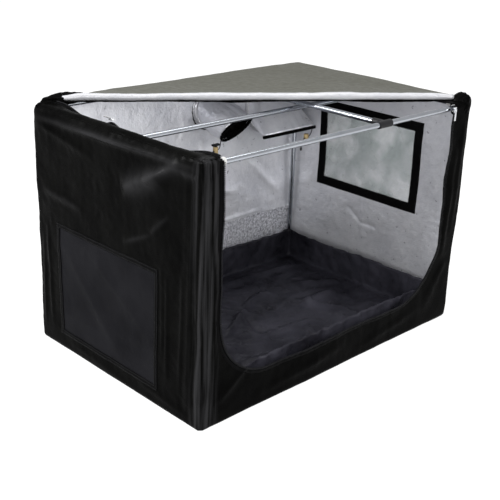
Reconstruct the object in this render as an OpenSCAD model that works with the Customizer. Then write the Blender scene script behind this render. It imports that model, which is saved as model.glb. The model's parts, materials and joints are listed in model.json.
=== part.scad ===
// Soft enclosure tent on a push-fit tube frame, with its roof and front door folded open.
// Millimetres, +Z up. The origin is on the floor, under the middle of the tent:
// +X is the right-hand side and -Y is the front.

/* [Tent] */
// Outside width, from left to right
tent_w = 900; // [880:10:1000]
// Outside depth, from front to back
tent_d = 600; // [590:10:700]
// Outside height
tent_h = 600; // [600:10:700]
// Thickness of the coated cloth
cloth = 1.2; // [1:0.1:1.3]

/* [Front and roof openings] */
// Width of the front cloth beside the left post
left_strip_w = 47; // [45:1:55]
// Width of the front cloth beside the right post
right_strip_w = 75; // [65:1:80]
// Height of the front sill
sill_h = 92; // [91:1:105]
// Radius of the front opening's lower corners
corner_r = 160; // [120:5:180]
// Width of the roof cloth along the left edge
roof_strip_w = 44; // [42:1:55]
// Width of each zip's row of teeth
zip_w = 4; // [3:0.5:5]

/* [Frame] */
// Outside diameter of the steel tubes
tube_d = 13; // [12:0.5:16]
// Wall of the steel tubes
tube_wall = 1; // [0.8:0.1:1.5]
// Distance from a tube's middle to the outside of the cloth
tube_inset = 14; // [13.5:0.1:14]
// Wall of the plastic connectors
connector_wall = 2.4; // [2:0.1:2.4]
// Gap round a tube in a connector
tube_gap = 0.05; // [0.02:0.01:0.1]
// Length of a connector's arm from its middle
arm_l = 48; // [40:1:55]
// Height of the joint in each corner post
post_joint_z = 170; // [120:5:200]
// Place of the tee and the cross bar, from the middle to the right
cross_x = 112; // [60:1:150]
// Drop from the roof tubes to the hanging bar
bar_drop = 19; // [18.8:0.1:22]

/* [Window and vent] */
// Clear size of the window, along the wall
window_l = 310; // [200:5:320]
// Place of the window's middle, towards the back
window_y = 16; // [-20:1:30]
// Clear height of the window
window_h = 202; // [150:2:230]
// Height of the window's middle
window_z = 386; // [380:2:400]
// Width of the tape round the window
window_tape_w = 26; // [20:1:30]
// Length of the mesh vent
vent_l = 348; // [250:2:360]
// Height of the mesh vent
vent_h = 265; // [200:5:270]
// Height of the vent's lower edge
vent_z = 55; // [50:1:60]
// Place of the vent's middle, from the middle to the back
vent_y = 26; // [0:1:40]

/* [Duct ports] */
// Inside radius of the small duct port
small_port_r = 50; // [40:1:55]
// Inside radius of the large duct port
large_port_r = 75; // [65:1:76]
// Length of a port's collar
collar_l = 10; // [8:1:12]
// Width of a port's collar
collar_w = 7; // [5:1:8]

/* [Spill tray] */
// Height of the tray's rim above the tray's base
tray_h = 87; // [60:1:88]
// Gap between the tray and the tubes' centre lines
tray_gap = 12; // [11.5:0.5:20]

/* [Hidden] */
$fn = 48;

// Half sizes of the tent
hw = tent_w / 2;
hd = tent_d / 2;

// Centre lines of the tube frame
tube_r = tube_d / 2;
tube_x = hw - tube_inset;
tube_y = hd - tube_inset;
top_z = tent_h - tube_inset;
low_z = tube_inset;
bar_z = top_z - bar_drop;
socket_r = tube_r + tube_gap;
connector_r = socket_r + connector_wall;
tube_end = 15;
swage_l = 30;
bar_end = 20;
clip_l = 24;
clip_reach = 40;
tee_l = 44;
tee_arm_l = 32;

// Front opening
open_x0 = -hw + left_strip_w;
open_x1 = hw - right_strip_w;
zip_t = 2;

// The fold of the roof runs from the back left corner to the front right corner
fold_angle = atan2(-hd, hw);
fold_inset = 62;
fold_dir = [cos(fold_angle), sin(fold_angle)];
back_left = [-hw, hd];
front_right = [hw, -hd];
patch_w = 75;
flap_layer_t = 1.6;
flap_pitch = 5.2;
flap_layers = 3;
flap_z = tent_h + 1;
edge_in = 4;

// Window and vent
window_y0 = window_y - window_l / 2;
window_z0 = window_z - window_h / 2;
cover_over = 31;
tape_t = 0.8;
hook_w = 16;
hook_t = 0.4;
cover_clear = 0.4;
mesh_t = 0.6;
vent_cover_z0 = 95;
vent_cover_over = 14;
hem_w = 12;

// Duct ports and socks: [x, z] of each port, [x, y, z] of each mouth
small_port = [100, 512];
large_port = [318, 495];
small_mouth = [106, 200, 479];
large_mouth = [315, 195, 438];
large_mouth_half = [100, 32];
// Each mouth's tilt down from the wall, and its turn to the right
small_tilt = [40, 11];
large_tilt = [70, 0];
sock_back = hd - 9;
sock_end_t = 1;
sock_fn = 40;
hem_l = 9;
hem_t = 1.6;

// Drawcords: each route leaves the sock's hem, crosses its lock and hangs to a knot
cord_r = 1.25;
cord_sides = 8;
knot_r = 3.5;
small_route = [
    [77.5, 224, 440.2], [76.8, 224, 434], [74.8, 223, 427], [71, 222, 420.5], [65, 222, 416], [58, 222, 415],
    [52, 222, 415], [46, 222, 414], [41, 222, 410], [38, 222, 403], [37, 222, 395], [37, 222, 388]
];
large_route = [
    [419, 203, 430], [420, 203, 423], [418, 203, 416], [413, 203, 409], [406, 203, 404],
    [398, 203, 402], [392, 203, 402], [386, 203, 401], [381, 203, 397], [378, 203, 390],
    [377, 203, 383], [377, 203, 376]
];
small_lock = [57, 222, 415];
large_lock = [396, 203, 402];
lock_r = 7;
lock_l = 24;
lock_bore_r = 3.4;
stem_r = 4;
stem_clear = 0.05;
stem_l = 9;
stem_gap = 2.4;
cap_size = [22, 9, 5];

// Spill tray
tray_x = tube_x - tray_gap;
tray_y = tube_y - tray_gap;
tray_z = cloth + 0.3;

// Zip sliders
slider_w = 9;
slider_l = 13;
slider_t = 3.4;
slider_lift = 0.5;
pull_w = 6;
pull_l = 27;
pull_t = 1.2;
pin_r = 0.8;
roof_slider_y = 53;
front_slider_z = tent_h - 14;

// Colours
black_cloth = [0.07, 0.07, 0.08];
silver_lining = [0.78, 0.79, 0.80];
steel = [0.62, 0.64, 0.66];
black_plastic = [0.10, 0.10, 0.11];
white_plastic = [0.85, 0.85, 0.84];
tan_plastic = [0.72, 0.60, 0.38];
zip_metal = [0.75, 0.76, 0.78];

// A box given by its lowest corner and its size
module block(at, size) {
    translate(at) cube(size);
}

// Front opening, seen from the front, drawn inset by a distance
module opening_shape(inset) {
    r = corner_r - inset;
    x0 = open_x0 + inset;
    x1 = open_x1 - inset;
    z0 = sill_h + inset;
    translate([x0, z0 + r]) square([x1 - x0, tent_h - z0 - r]);
    translate([x0 + r, z0]) square([x1 - x0 - 2 * r, r + 1]);
    for (x = [x0 + r, x1 - r])
        translate([x, z0 + r]) circle(r, $fn = 96);
}

// Stands a shape drawn in X and Z up at the front face, t thick from y_front backwards
module stand_front(y_front, t) {
    translate([0, y_front + t, 0]) rotate([90, 0, 0]) linear_extrude(t) children();
}

// Part of the front cloth between two places across the tent
module front_cloth(x0, x1, top) {
    stand_front(-hd, cloth)
    difference() {
        translate([x0, cloth]) square([x1 - x0, top - cloth]);
        opening_shape(0);
    }
}

module left_wall() {
    color(black_cloth)
    difference() {
        block([-hw, -hd, 0], [cloth, tent_d, tent_h]);
        block([-hw - 1, vent_y - vent_l / 2, vent_z], [cloth + 2, vent_l, vent_h]);
    }
}

module right_wall() {
    color(black_cloth)
    difference() {
        block([hw - cloth, -hd, 0], [cloth, tent_d, tent_h]);
        block([hw - cloth - 1, window_y0, window_z0], [cloth + 2, window_l, window_h]);
    }
}

// Cylinder along Y at a port's place, from y0 to y1
module port_cylinder(port, r, y0, y1) {
    translate([port[0], y1, port[1]]) rotate([90, 0, 0]) cylinder(h = y1 - y0, r = r, $fn = 96);
}

module back_wall() {
    color(black_cloth)
    difference() {
        block([-hw + cloth, hd - cloth, 0], [tent_w - 2 * cloth, cloth, tent_h]);
        port_cylinder(small_port, small_port_r + collar_w, hd - 5, hd + 5);
        port_cylinder(large_port, large_port_r + collar_w, hd - 5, hd + 5);
    }
}

module floor_panel() {
    color(black_cloth)
    block([-hw + cloth, -hd, 0], [tent_w - 2 * cloth, tent_d - cloth, cloth]);
}

// Depth of the fold line at a place across the tent
function fold_y(x) = -x * hd / hw;

module roof_panel() {
    x0 = -hw + roof_strip_w;
    x1 = hw - cloth;
    y0 = -hd + cloth;
    y1 = hd - cloth;
    color(black_cloth)
    translate([0, 0, tent_h - cloth])
    linear_extrude(cloth)
    polygon([
        [x0, y1], [x0, fold_y(x0)], [hw - patch_w, fold_y(hw - patch_w)], [hw - patch_w, y0],
        [x1, y0], [x1, y1]
    ]);
}

module roof_left_strip() {
    color(black_cloth)
    block([-hw + cloth, -hd + cloth, tent_h - cloth], [roof_strip_w - cloth, tent_d - 2 * cloth, cloth]);
}

module front_left_strip() {
    color(black_cloth) front_cloth(-hw + cloth, open_x0 + corner_r, tent_h);
}

module front_right_strip() {
    color(black_cloth) front_cloth(open_x1 - corner_r, hw - cloth, tent_h);
}

module front_sill() {
    color(black_cloth) front_cloth(open_x0 + corner_r, open_x1 - corner_r, sill_h);
}

module front_zip() {
    color(black_plastic)
    stand_front(-hd - 0.3, zip_t)
    difference() {
        opening_shape(0);
        opening_shape(zip_w);
        translate([-hw, tent_h - 4]) square([tent_w, 5]);
    }
}

module roof_zip() {
    x = -hw + roof_strip_w;
    y1 = fold_y(x) - 6;
    color(black_plastic)
    block([x, -hd + 4, tent_h - zip_t + 0.2], [zip_w, y1 + hd - 4, zip_t]);
}

// The tuft of cloth that the fold leaves at the back left corner
module corner_gather() {
    color(black_cloth)
    hull() {
        translate([-hw + 8, hd - 8, tent_h + 4]) sphere(4, $fn = 24);
        translate([-hw + 30, hd - 10, tent_h + 8]) sphere(8, $fn = 24);
        translate([-hw + 24, hd - 18, tent_h + 5]) sphere(5, $fn = 24);
    }
}

module vent_mesh() {
    color([0.16, 0.16, 0.17])
    block([-hw + cloth / 4, vent_y - vent_l / 2, vent_z], [mesh_t, vent_l, vent_h]);
}

// Flat frame in the Y-Z plane round a clear space
module yz_frame(x, t, y0, z0, l, h, w) {
    difference() {
        block([x, y0 - w, z0 - w], [t, l + 2 * w, h + 2 * w]);
        block([x - 1, y0, z0], [t + 2, l, h]);
    }
}

module vent_tape() {
    color(black_cloth)
    yz_frame(-hw - tape_t, tape_t, vent_y - vent_l / 2, vent_z, vent_l, vent_h, hem_w);
}

module window_pane() {
    color([0.80, 0.88, 0.86, 0.35])
    block([hw - cloth * 0.75, window_y0, window_z0], [mesh_t, window_l, window_h]);
}

module window_tape() {
    color(black_cloth)
    yz_frame(hw - cloth - tape_t, tape_t, window_y0, window_z0, window_l, window_h, window_tape_w);
}

// Hook tapes on the right wall's outside, beside the window
module window_hook_tapes() {
    color(black_cloth)
    for (y = [window_y0 - cover_over + 3, window_y0 + window_l + cover_over - 3 - hook_w])
        block([hw, y, window_z0], [hook_t, hook_w, window_h]);
}

// Hook tapes on the left wall's inside, beside the vent
module vent_hook_tapes() {
    h = vent_z + vent_h - vent_cover_z0 - 10;
    color(black_cloth)
    for (y = [vent_y - vent_l / 2 - hook_w + 2, vent_y + vent_l / 2 - 2])
        block([-hw + cloth, y, vent_cover_z0 + 5], [hook_t, hook_w - 4, h]);
}

module port_collar(port, r) {
    color(black_cloth)
    difference() {
        port_cylinder(port, r + collar_w, sock_back, sock_back + collar_l);
        port_cylinder(port, r, sock_back - 1, sock_back + collar_l + 1);
    }
}

module port_collar_small() {
    port_collar(small_port, small_port_r);
}

module port_collar_large() {
    port_collar(large_port, large_port_r);
}

// Disc across a sock's mouth, starting "ahead" of the mouth's plane and t thick
module mouth_disc(mouth, half, tilt, grow, ahead, t) {
    translate(mouth)
    rotate([90 + tilt[0], 0, tilt[1]])
    translate([0, 0, ahead])
    scale([half[0] + grow, half[1] + grow, 1])
    cylinder(h = t, r = 1, $fn = sock_fn);
}

// Solid that blends from a round port to a mouth
module sock_blend(port, r, mouth, half, tilt, grow, over) {
    hull() {
        port_cylinder(port, r + grow, sock_back - sock_end_t, sock_back + over);
        mouth_disc(mouth, half, tilt, grow, -over / 2, sock_end_t + over);
    }
}

module duct_sock(port, r, mouth, half, tilt) {
    color(silver_lining)
    difference() {
        sock_blend(port, r, mouth, half, tilt, cloth, 0);
        sock_blend(port, r, mouth, half, tilt, 0, 2);
    }
}

module sock_hem(mouth, half, tilt) {
    color(black_cloth)
    difference() {
        mouth_disc(mouth, half, tilt, hem_t, sock_end_t, hem_l);
        mouth_disc(mouth, half, tilt, 0, 0, hem_l + 3);
    }
}

module duct_sock_small() {
    duct_sock(small_port, small_port_r, small_mouth, [small_port_r, small_port_r], small_tilt);
}

module duct_sock_large() {
    duct_sock(large_port, large_port_r, large_mouth, large_mouth_half, large_tilt);
}

module sock_hem_small() {
    sock_hem(small_mouth, [small_port_r, small_port_r], small_tilt);
}

module sock_hem_large() {
    sock_hem(large_mouth, large_mouth_half, large_tilt);
}

// Unit vector along a route at one of its points
function route_dir(p, i) =
    let (d = p[min(i + 1, len(p) - 1)] - p[max(i - 1, 0)]) d / norm(d);

// Ring of points round a route at one of its points
function route_ring(p, i, r, n) =
    let (
        t = route_dir(p, i),
        a = cross(t, [0, 1, 0]) / norm(cross(t, [0, 1, 0])),
        b = cross(t, a)
    )
    [for (k = [0:n - 1]) p[i] + r * (cos(360 * k / n) * a + sin(360 * k / n) * b)];

// Tube swept along a route
module sweep_tube(p, r, n) {
    last = (len(p) - 1) * n;
    points = [for (i = [0:len(p) - 1]) each route_ring(p, i, r, n)];
    sides = [
        for (i = [0:len(p) - 2], k = [0:n - 1])
        [i * n + k, (i + 1) * n + k, (i + 1) * n + (k + 1) % n, i * n + (k + 1) % n]
    ];
    start_cap = [for (k = [0:n - 1]) k];
    end_cap = [for (k = [n - 1:-1:0]) last + k];
    polyhedron(points, concat([start_cap, end_cap], sides));
}

// Cord with a round knot on its free end
module drawcord(route) {
    color(black_cloth)
    union() {
        sweep_tube(route, cord_r, cord_sides);
        translate(route[len(route) - 1] - [0, 0, knot_r - 1]) sphere(knot_r, $fn = 16);
    }
}

module drawcord_small() {
    drawcord(small_route);
}

module drawcord_large() {
    drawcord(large_route);
}

// Barrel of a cord lock, with the cord's hole across it and the plunger's hole in one end
module cord_lock(at, way) {
    color(tan_plastic)
    translate(at)
    difference() {
        cylinder(h = lock_l, r = lock_r, center = true);
        rotate([0, 90, 0]) cylinder(h = 3 * lock_r, r = lock_bore_r, center = true);
        rotate([90 - 90 * way, 0, 0])
        translate([0, 0, lock_bore_r + 0.8])
        cylinder(h = lock_l, r = stem_r + stem_clear);
    }
}

// Plunger of a cord lock: a stem with a bar across its end
module lock_plunger(at, way) {
    color(black_plastic)
    translate(at)
    rotate([90 - 90 * way, 0, 0])
    translate([0, 0, lock_bore_r + stem_gap]) {
        cylinder(h = stem_l, r = stem_r);
        translate([-cap_size[0] / 2, -cap_size[1] / 2, stem_l]) cube(cap_size);
    }
}

module cord_lock_small() {
    cord_lock(small_lock, 1);
}

module cord_lock_large() {
    cord_lock(large_lock, -1);
}

module lock_plunger_small() {
    lock_plunger(small_lock, 1);
}

module lock_plunger_large() {
    lock_plunger(large_lock, -1);
}

// Steel tube along +Z from the origin
module tube(l) {
    difference() {
        cylinder(h = l, r = tube_r);
        translate([0, 0, -1]) cylinder(h = l + 2, r = tube_r - tube_wall);
    }
}

// Tube along +X or +Y, given by its start
module tube_along_x(at, l) {
    translate(at) rotate([0, 90, 0]) tube(l);
}

module tube_along_y(at, l) {
    translate(at) rotate([-90, 0, 0]) tube(l);
}

// Corner post: a long upper section on the swaged end of a short lower one
module post(x, y) {
    z0 = low_z + tube_end;
    color(steel)
    translate([x, y, 0]) {
        difference() {
            union() {
                translate([0, 0, z0]) cylinder(h = post_joint_z - z0, r = tube_r);
                translate([0, 0, post_joint_z]) cylinder(h = swage_l, r = tube_r - tube_wall - tube_gap);
            }
            translate([0, 0, z0 - 1]) cylinder(h = tent_h, r = tube_r - 2 * tube_wall - tube_gap);
        }
        translate([0, 0, post_joint_z + 0.2]) tube(top_z - tube_end - post_joint_z - 0.2);
    }
}

module post_front_left() {
    post(-tube_x, -tube_y);
}

module post_front_right() {
    post(tube_x, -tube_y);
}

module post_back_left() {
    post(-tube_x, tube_y);
}

module post_back_right() {
    post(tube_x, tube_y);
}

// Tubes from corner to corner
module long_tube(y, z) {
    color(steel) tube_along_x([-tube_x + tube_end, y, z], 2 * (tube_x - tube_end));
}

module side_tube(x, z) {
    color(steel) tube_along_y([x, -tube_y + tube_end, z], 2 * (tube_y - tube_end));
}

module bottom_tube_front() {
    long_tube(-tube_y, low_z);
}

module bottom_tube_back() {
    long_tube(tube_y, low_z);
}

module bottom_tube_left() {
    side_tube(-tube_x, low_z);
}

module bottom_tube_right() {
    side_tube(tube_x, low_z);
}

module top_tube_left() {
    side_tube(-tube_x, top_z);
}

module top_tube_right() {
    side_tube(tube_x, top_z);
}

// A roof tube in two sections that meet in a tee
module top_tubes(y) {
    x0 = -tube_x + tube_end;
    color(steel) {
        tube_along_x([x0, y, top_z], cross_x - 2 - x0);
        tube_along_x([cross_x + 2, y, top_z], tube_x - tube_end - cross_x - 2);
    }
}

module top_tubes_front() {
    top_tubes(-tube_y);
}

module top_tubes_back() {
    top_tubes(tube_y);
}

// Three arms along X, Y and Z, pointing the ways that "way" gives
module corner_connector(at, way) {
    arms = [[0, 90 * way[0], 0], [-90 * way[1], 0, 0], [90 - 90 * way[2], 0, 0]];
    translate(at)
    difference() {
        union() {
            sphere(connector_r);
            for (turn = arms)
                rotate(turn) cylinder(h = arm_l, r = connector_r);
        }
        for (turn = arms)
            rotate(turn) translate([0, 0, tube_end - 1]) cylinder(h = arm_l, r = socket_r);
    }
}

module corner_connectors(z, up, tint) {
    color(tint)
    for (sx = [-1, 1], sy = [-1, 1])
        corner_connector([sx * tube_x, sy * tube_y, z], [-sx, -sy, up]);
}

module corner_connectors_bottom() {
    corner_connectors(low_z, 1, white_plastic);
}

module corner_connectors_top() {
    corner_connectors(top_z, -1, white_plastic);
}

// Tees that take the cross bar between the front and back roof tubes
module tee_connectors() {
    color(black_plastic)
    for (s = [-1, 1])
        translate([cross_x, s * tube_y, top_z])
        difference() {
            union() {
                rotate([0, 90, 0]) cylinder(h = tee_l, r = connector_r, center = true);
                rotate([s * 90, 0, 0]) cylinder(h = tee_arm_l, r = connector_r - 0.4);
            }
            for (side = [-1, 1])
                rotate([0, side * 90, 0]) translate([0, 0, 1]) cylinder(h = tee_l, r = socket_r);
            rotate([s * 90, 0, 0]) translate([0, 0, tube_end - 1]) cylinder(h = arm_l, r = socket_r);
        }
}

module cross_bar() {
    color(steel) tube_along_y([cross_x, -tube_y + tube_end, top_z], 2 * (tube_y - tube_end));
}

// Hanging bar, held below the roof tubes by a clip at each end
module hanging_bar() {
    color(steel) tube_along_x([-tube_x + bar_end, 0, bar_z], 2 * (tube_x - bar_end));
}

// Clip that slides on a side roof tube and holds one end of the hanging bar
module bar_clip(side) {
    color(black_plastic)
    translate([side * tube_x, 0, 0])
    difference() {
        union() {
            translate([0, 0, top_z]) rotate([90, 0, 0]) cylinder(h = clip_l, r = connector_r, center = true);
            translate([0, 0, bar_z]) rotate([0, -90 * side, 0]) cylinder(h = clip_reach, r = connector_r);
            block([-connector_r, -connector_r, bar_z], [2 * connector_r, 2 * connector_r, bar_drop]);
        }
        translate([0, 0, top_z]) rotate([90, 0, 0]) cylinder(h = clip_l + 2, r = socket_r, center = true);
        translate([0, 0, bar_z])
        rotate([0, -90 * side, 0])
        translate([0, 0, bar_end - 1])
        cylinder(h = clip_reach, r = socket_r);
    }
}

module bar_clip_left() {
    bar_clip(-1);
}

module bar_clip_right() {
    bar_clip(1);
}

module spill_tray() {
    color(black_cloth)
    difference() {
        block([-tray_x, -tray_y, tray_z], [2 * tray_x, 2 * tray_y, tray_h]);
        block([-tray_x + cloth, -tray_y + cloth, tray_z + cloth],
              [2 * (tray_x - cloth), 2 * (tray_y - cloth), tray_h]);
    }
}

// Outside cover of the window, sewn along its upper edge
module window_cover() {
    color(black_cloth)
    block([hw + hook_t + cover_clear, window_y0 - cover_over, window_z0 - cover_over],
          [cloth, window_l + 2 * cover_over, window_h + 2 * cover_over]);
}

// Inside cover of the vent, sewn along its upper edge
module vent_cover() {
    color(silver_lining)
    block([-hw + cloth + hook_t + cover_clear, vent_y - vent_l / 2 - vent_cover_over, vent_cover_z0],
          [cloth, vent_l + 2 * vent_cover_over, vent_z + vent_h + vent_cover_over - vent_cover_z0]);
}

// Roof and front door, folded back over the roof in layers, hinged on the fold
module door_flap() {
    start = back_left + fold_inset * fold_dir;
    end = front_right - fold_inset * fold_dir;
    color(silver_lining)
    for (layer = [0:flap_layers - 1])
        translate([0, 0, flap_z + layer * flap_pitch])
        linear_extrude(flap_layer_t)
        polygon([
            start, end, [hw - edge_in, -hd + fold_inset - 10], [hw - edge_in, hd - edge_in],
            [-hw + fold_inset, hd - edge_in]
        ]);
}

// Slider lying on +Z with its travel along X, its pull's pin across it
module slider_body() {
    difference() {
        union() {
            translate([-slider_l / 2, -slider_w / 2, slider_lift]) cube([slider_l, slider_w, slider_t - 1.4]);
            translate([-3.5, -1.5, slider_lift]) cube([7, 3, slider_t + 1.6]);
        }
        translate([0, 0, slider_lift + slider_t])
        rotate([90, 0, 0])
        cylinder(h = 8, r = pin_r + 0.1, center = true);
    }
}

// Pull lying towards +X from its pin
module pull_tab() {
    translate([0, 0, slider_lift + slider_t]) {
        rotate([90, 0, 0]) cylinder(h = pull_w, r = pin_r, center = true);
        for (side = [-1, 1])
            translate([0, side * (pull_w / 2 - 0.6) - 0.6, -pull_t / 2]) cube([8, 1.2, pull_t]);
        translate([7, -pull_w / 2, -pull_t / 2]) cube([pull_l - 7, pull_w, pull_t]);
    }
}

// Puts a slider or its pull on the roof's left zip
module at_roof_zip() {
    translate([-hw + roof_strip_w + zip_w / 2, roof_slider_y, tent_h + 0.2]) rotate([0, 0, 90]) children();
}

// Puts a slider or its pull on the right end of the front zip
module at_front_zip() {
    translate([open_x1 - zip_w / 2, -hd - 0.3, front_slider_z]) rotate([0, 90, -90]) children();
}

module zip_slider_roof() {
    color(zip_metal) at_roof_zip() slider_body();
}

module zip_pull_roof() {
    color(zip_metal) at_roof_zip() pull_tab();
}

module zip_slider_front() {
    color(zip_metal) at_front_zip() slider_body();
}

module zip_pull_front() {
    color(zip_metal) at_front_zip() pull_tab();
}

left_wall();
right_wall();
back_wall();
floor_panel();
roof_panel();
roof_left_strip();
front_left_strip();
front_right_strip();
front_sill();
front_zip();
roof_zip();
corner_gather();
vent_mesh();
vent_tape();
window_pane();
window_tape();
window_hook_tapes();
vent_hook_tapes();
port_collar_small();
port_collar_large();
duct_sock_small();
duct_sock_large();
sock_hem_small();
sock_hem_large();
drawcord_small();
drawcord_large();
cord_lock_small();
cord_lock_large();
lock_plunger_small();
lock_plunger_large();
post_front_left();
post_front_right();
post_back_left();
post_back_right();
bottom_tube_front();
bottom_tube_back();
bottom_tube_left();
bottom_tube_right();
top_tube_left();
top_tube_right();
top_tubes_front();
top_tubes_back();
corner_connectors_bottom();
corner_connectors_top();
tee_connectors();
cross_bar();
hanging_bar();
bar_clip_left();
bar_clip_right();
spill_tray();
window_cover();
vent_cover();
door_flap();
zip_slider_roof();
zip_pull_roof();
zip_slider_front();
zip_pull_front();
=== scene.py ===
# %% [markdown]
# # A soft enclosure tent on a tube frame
# The tent is black coated cloth with a bright metallised lining, sewn into a box and stretched over
# push-fit steel tubes. Its roof and front door are one sheet, thrown back over the roof. The CAD
# model gives every size and place, so this lesson only makes what CAD can't: cloth that sags and
# creases, tape, stitching, zips, and the surface of each material.

# %% Load the frame
import json
import math

import bmesh
import bpy
import numpy as np
from mathutils import Matrix, Vector, noise


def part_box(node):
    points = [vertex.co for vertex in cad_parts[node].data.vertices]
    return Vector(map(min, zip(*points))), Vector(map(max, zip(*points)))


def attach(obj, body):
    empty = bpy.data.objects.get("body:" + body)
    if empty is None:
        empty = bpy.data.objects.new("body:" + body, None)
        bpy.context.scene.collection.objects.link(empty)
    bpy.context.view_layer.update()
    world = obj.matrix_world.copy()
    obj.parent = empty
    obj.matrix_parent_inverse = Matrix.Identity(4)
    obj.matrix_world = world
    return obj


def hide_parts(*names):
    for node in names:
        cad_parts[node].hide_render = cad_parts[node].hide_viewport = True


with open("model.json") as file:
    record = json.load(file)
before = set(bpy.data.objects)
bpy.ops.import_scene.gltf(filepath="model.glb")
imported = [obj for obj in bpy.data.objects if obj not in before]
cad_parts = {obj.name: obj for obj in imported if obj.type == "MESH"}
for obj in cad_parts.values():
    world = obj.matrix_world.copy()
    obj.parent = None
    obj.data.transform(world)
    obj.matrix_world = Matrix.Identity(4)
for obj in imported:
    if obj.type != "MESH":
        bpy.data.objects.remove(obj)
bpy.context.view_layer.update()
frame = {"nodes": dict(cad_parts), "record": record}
print("nodes in the frame:", len(frame["nodes"]))

# %% [markdown]
# ## Sizes that everything else is worked out from
# A node's box is its lowest and highest corner in metres, so the outside of the tent, the front
# opening and the tubes are read from the nodes that they belong to. Nothing is typed in twice.

# %% Read the tent's main sizes
LEFT_LOW, LEFT_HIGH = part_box("left_wall")
LOW = np.array([LEFT_LOW.x, LEFT_LOW.y, 0.0])
HIGH = np.array([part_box("right_wall")[1].x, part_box("back_wall")[1].y, LEFT_HIGH.z])
CLOTH = LEFT_HIGH.x - LEFT_LOW.x
ZIP_LOW, ZIP_HIGH = (np.array(c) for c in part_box("front_zip"))
CORNER_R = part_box("front_left_strip")[1].x - ZIP_LOW[0]
ROOF_STRIP_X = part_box("roof_left_strip")[1].x
print("tent outside, mm:", np.round((HIGH - LOW) * 1000, 1), "cloth:", round(CLOTH * 1000, 2))

# %% [markdown]
# ## The camera
# It stands in front of the left corner, a little above the roof, and looks down through the open
# roof and front. A small roll leans the picture. The matrix is built from the way the camera looks,
# because that keeps the roll exact.

# %% Make the camera
CAMERA_PLACE = Vector((-1.571, -1.545, 1.093))
CAMERA_AZIMUTH, CAMERA_DOWN, CAMERA_ROLL = (math.radians(a) for a in (45.12, 21.77, 2.36))


def look(azimuth, down, roll):
    """Rotation matrix of a camera that looks along an azimuth from +Y towards +X, and down."""
    forward = Vector((
        math.sin(azimuth) * math.cos(down), math.cos(azimuth) * math.cos(down), -math.sin(down)
    ))
    level = Vector((math.cos(azimuth), -math.sin(azimuth), 0))
    above = level.cross(forward)
    right = level * math.cos(roll) + above * math.sin(roll)
    return Matrix((right, right.cross(forward), -forward)).transposed()


camera_data = bpy.data.cameras.new("camera")
camera_data.lens = 66.7
camera_data.sensor_width = 36
camera = bpy.data.objects.new("camera", camera_data)
camera.matrix_world = Matrix.Translation(CAMERA_PLACE) @ look(
    CAMERA_AZIMUTH, CAMERA_DOWN, CAMERA_ROLL
).to_4x4()
bpy.context.scene.collection.objects.link(camera)
bpy.context.scene.camera = camera
print("camera distance to the tent's middle:", round((CAMERA_PLACE - Vector((0, 0, 0.3))).length, 3))

# %% [markdown]
# ## Writing shaders as sums
# A material is a graph of nodes, and a long graph is hard to read in code. A Wire is one output of a
# node. Adding or multiplying wires adds Math nodes, so a pattern reads like a formula. Every other
# node comes from one method, `Finish.node`.


# %% The Wire and Finish classes
class Wire:
    """One output of a node, on which Python's arithmetic adds Math nodes."""

    def __init__(self, finish, socket):
        self.finish = finish
        self.socket = socket

    def __add__(self, other):
        return self.finish.maths("ADD", self, other)

    def __mul__(self, other):
        return self.finish.maths("MULTIPLY", self, other)

    __radd__ = __add__
    __rmul__ = __mul__


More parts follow.
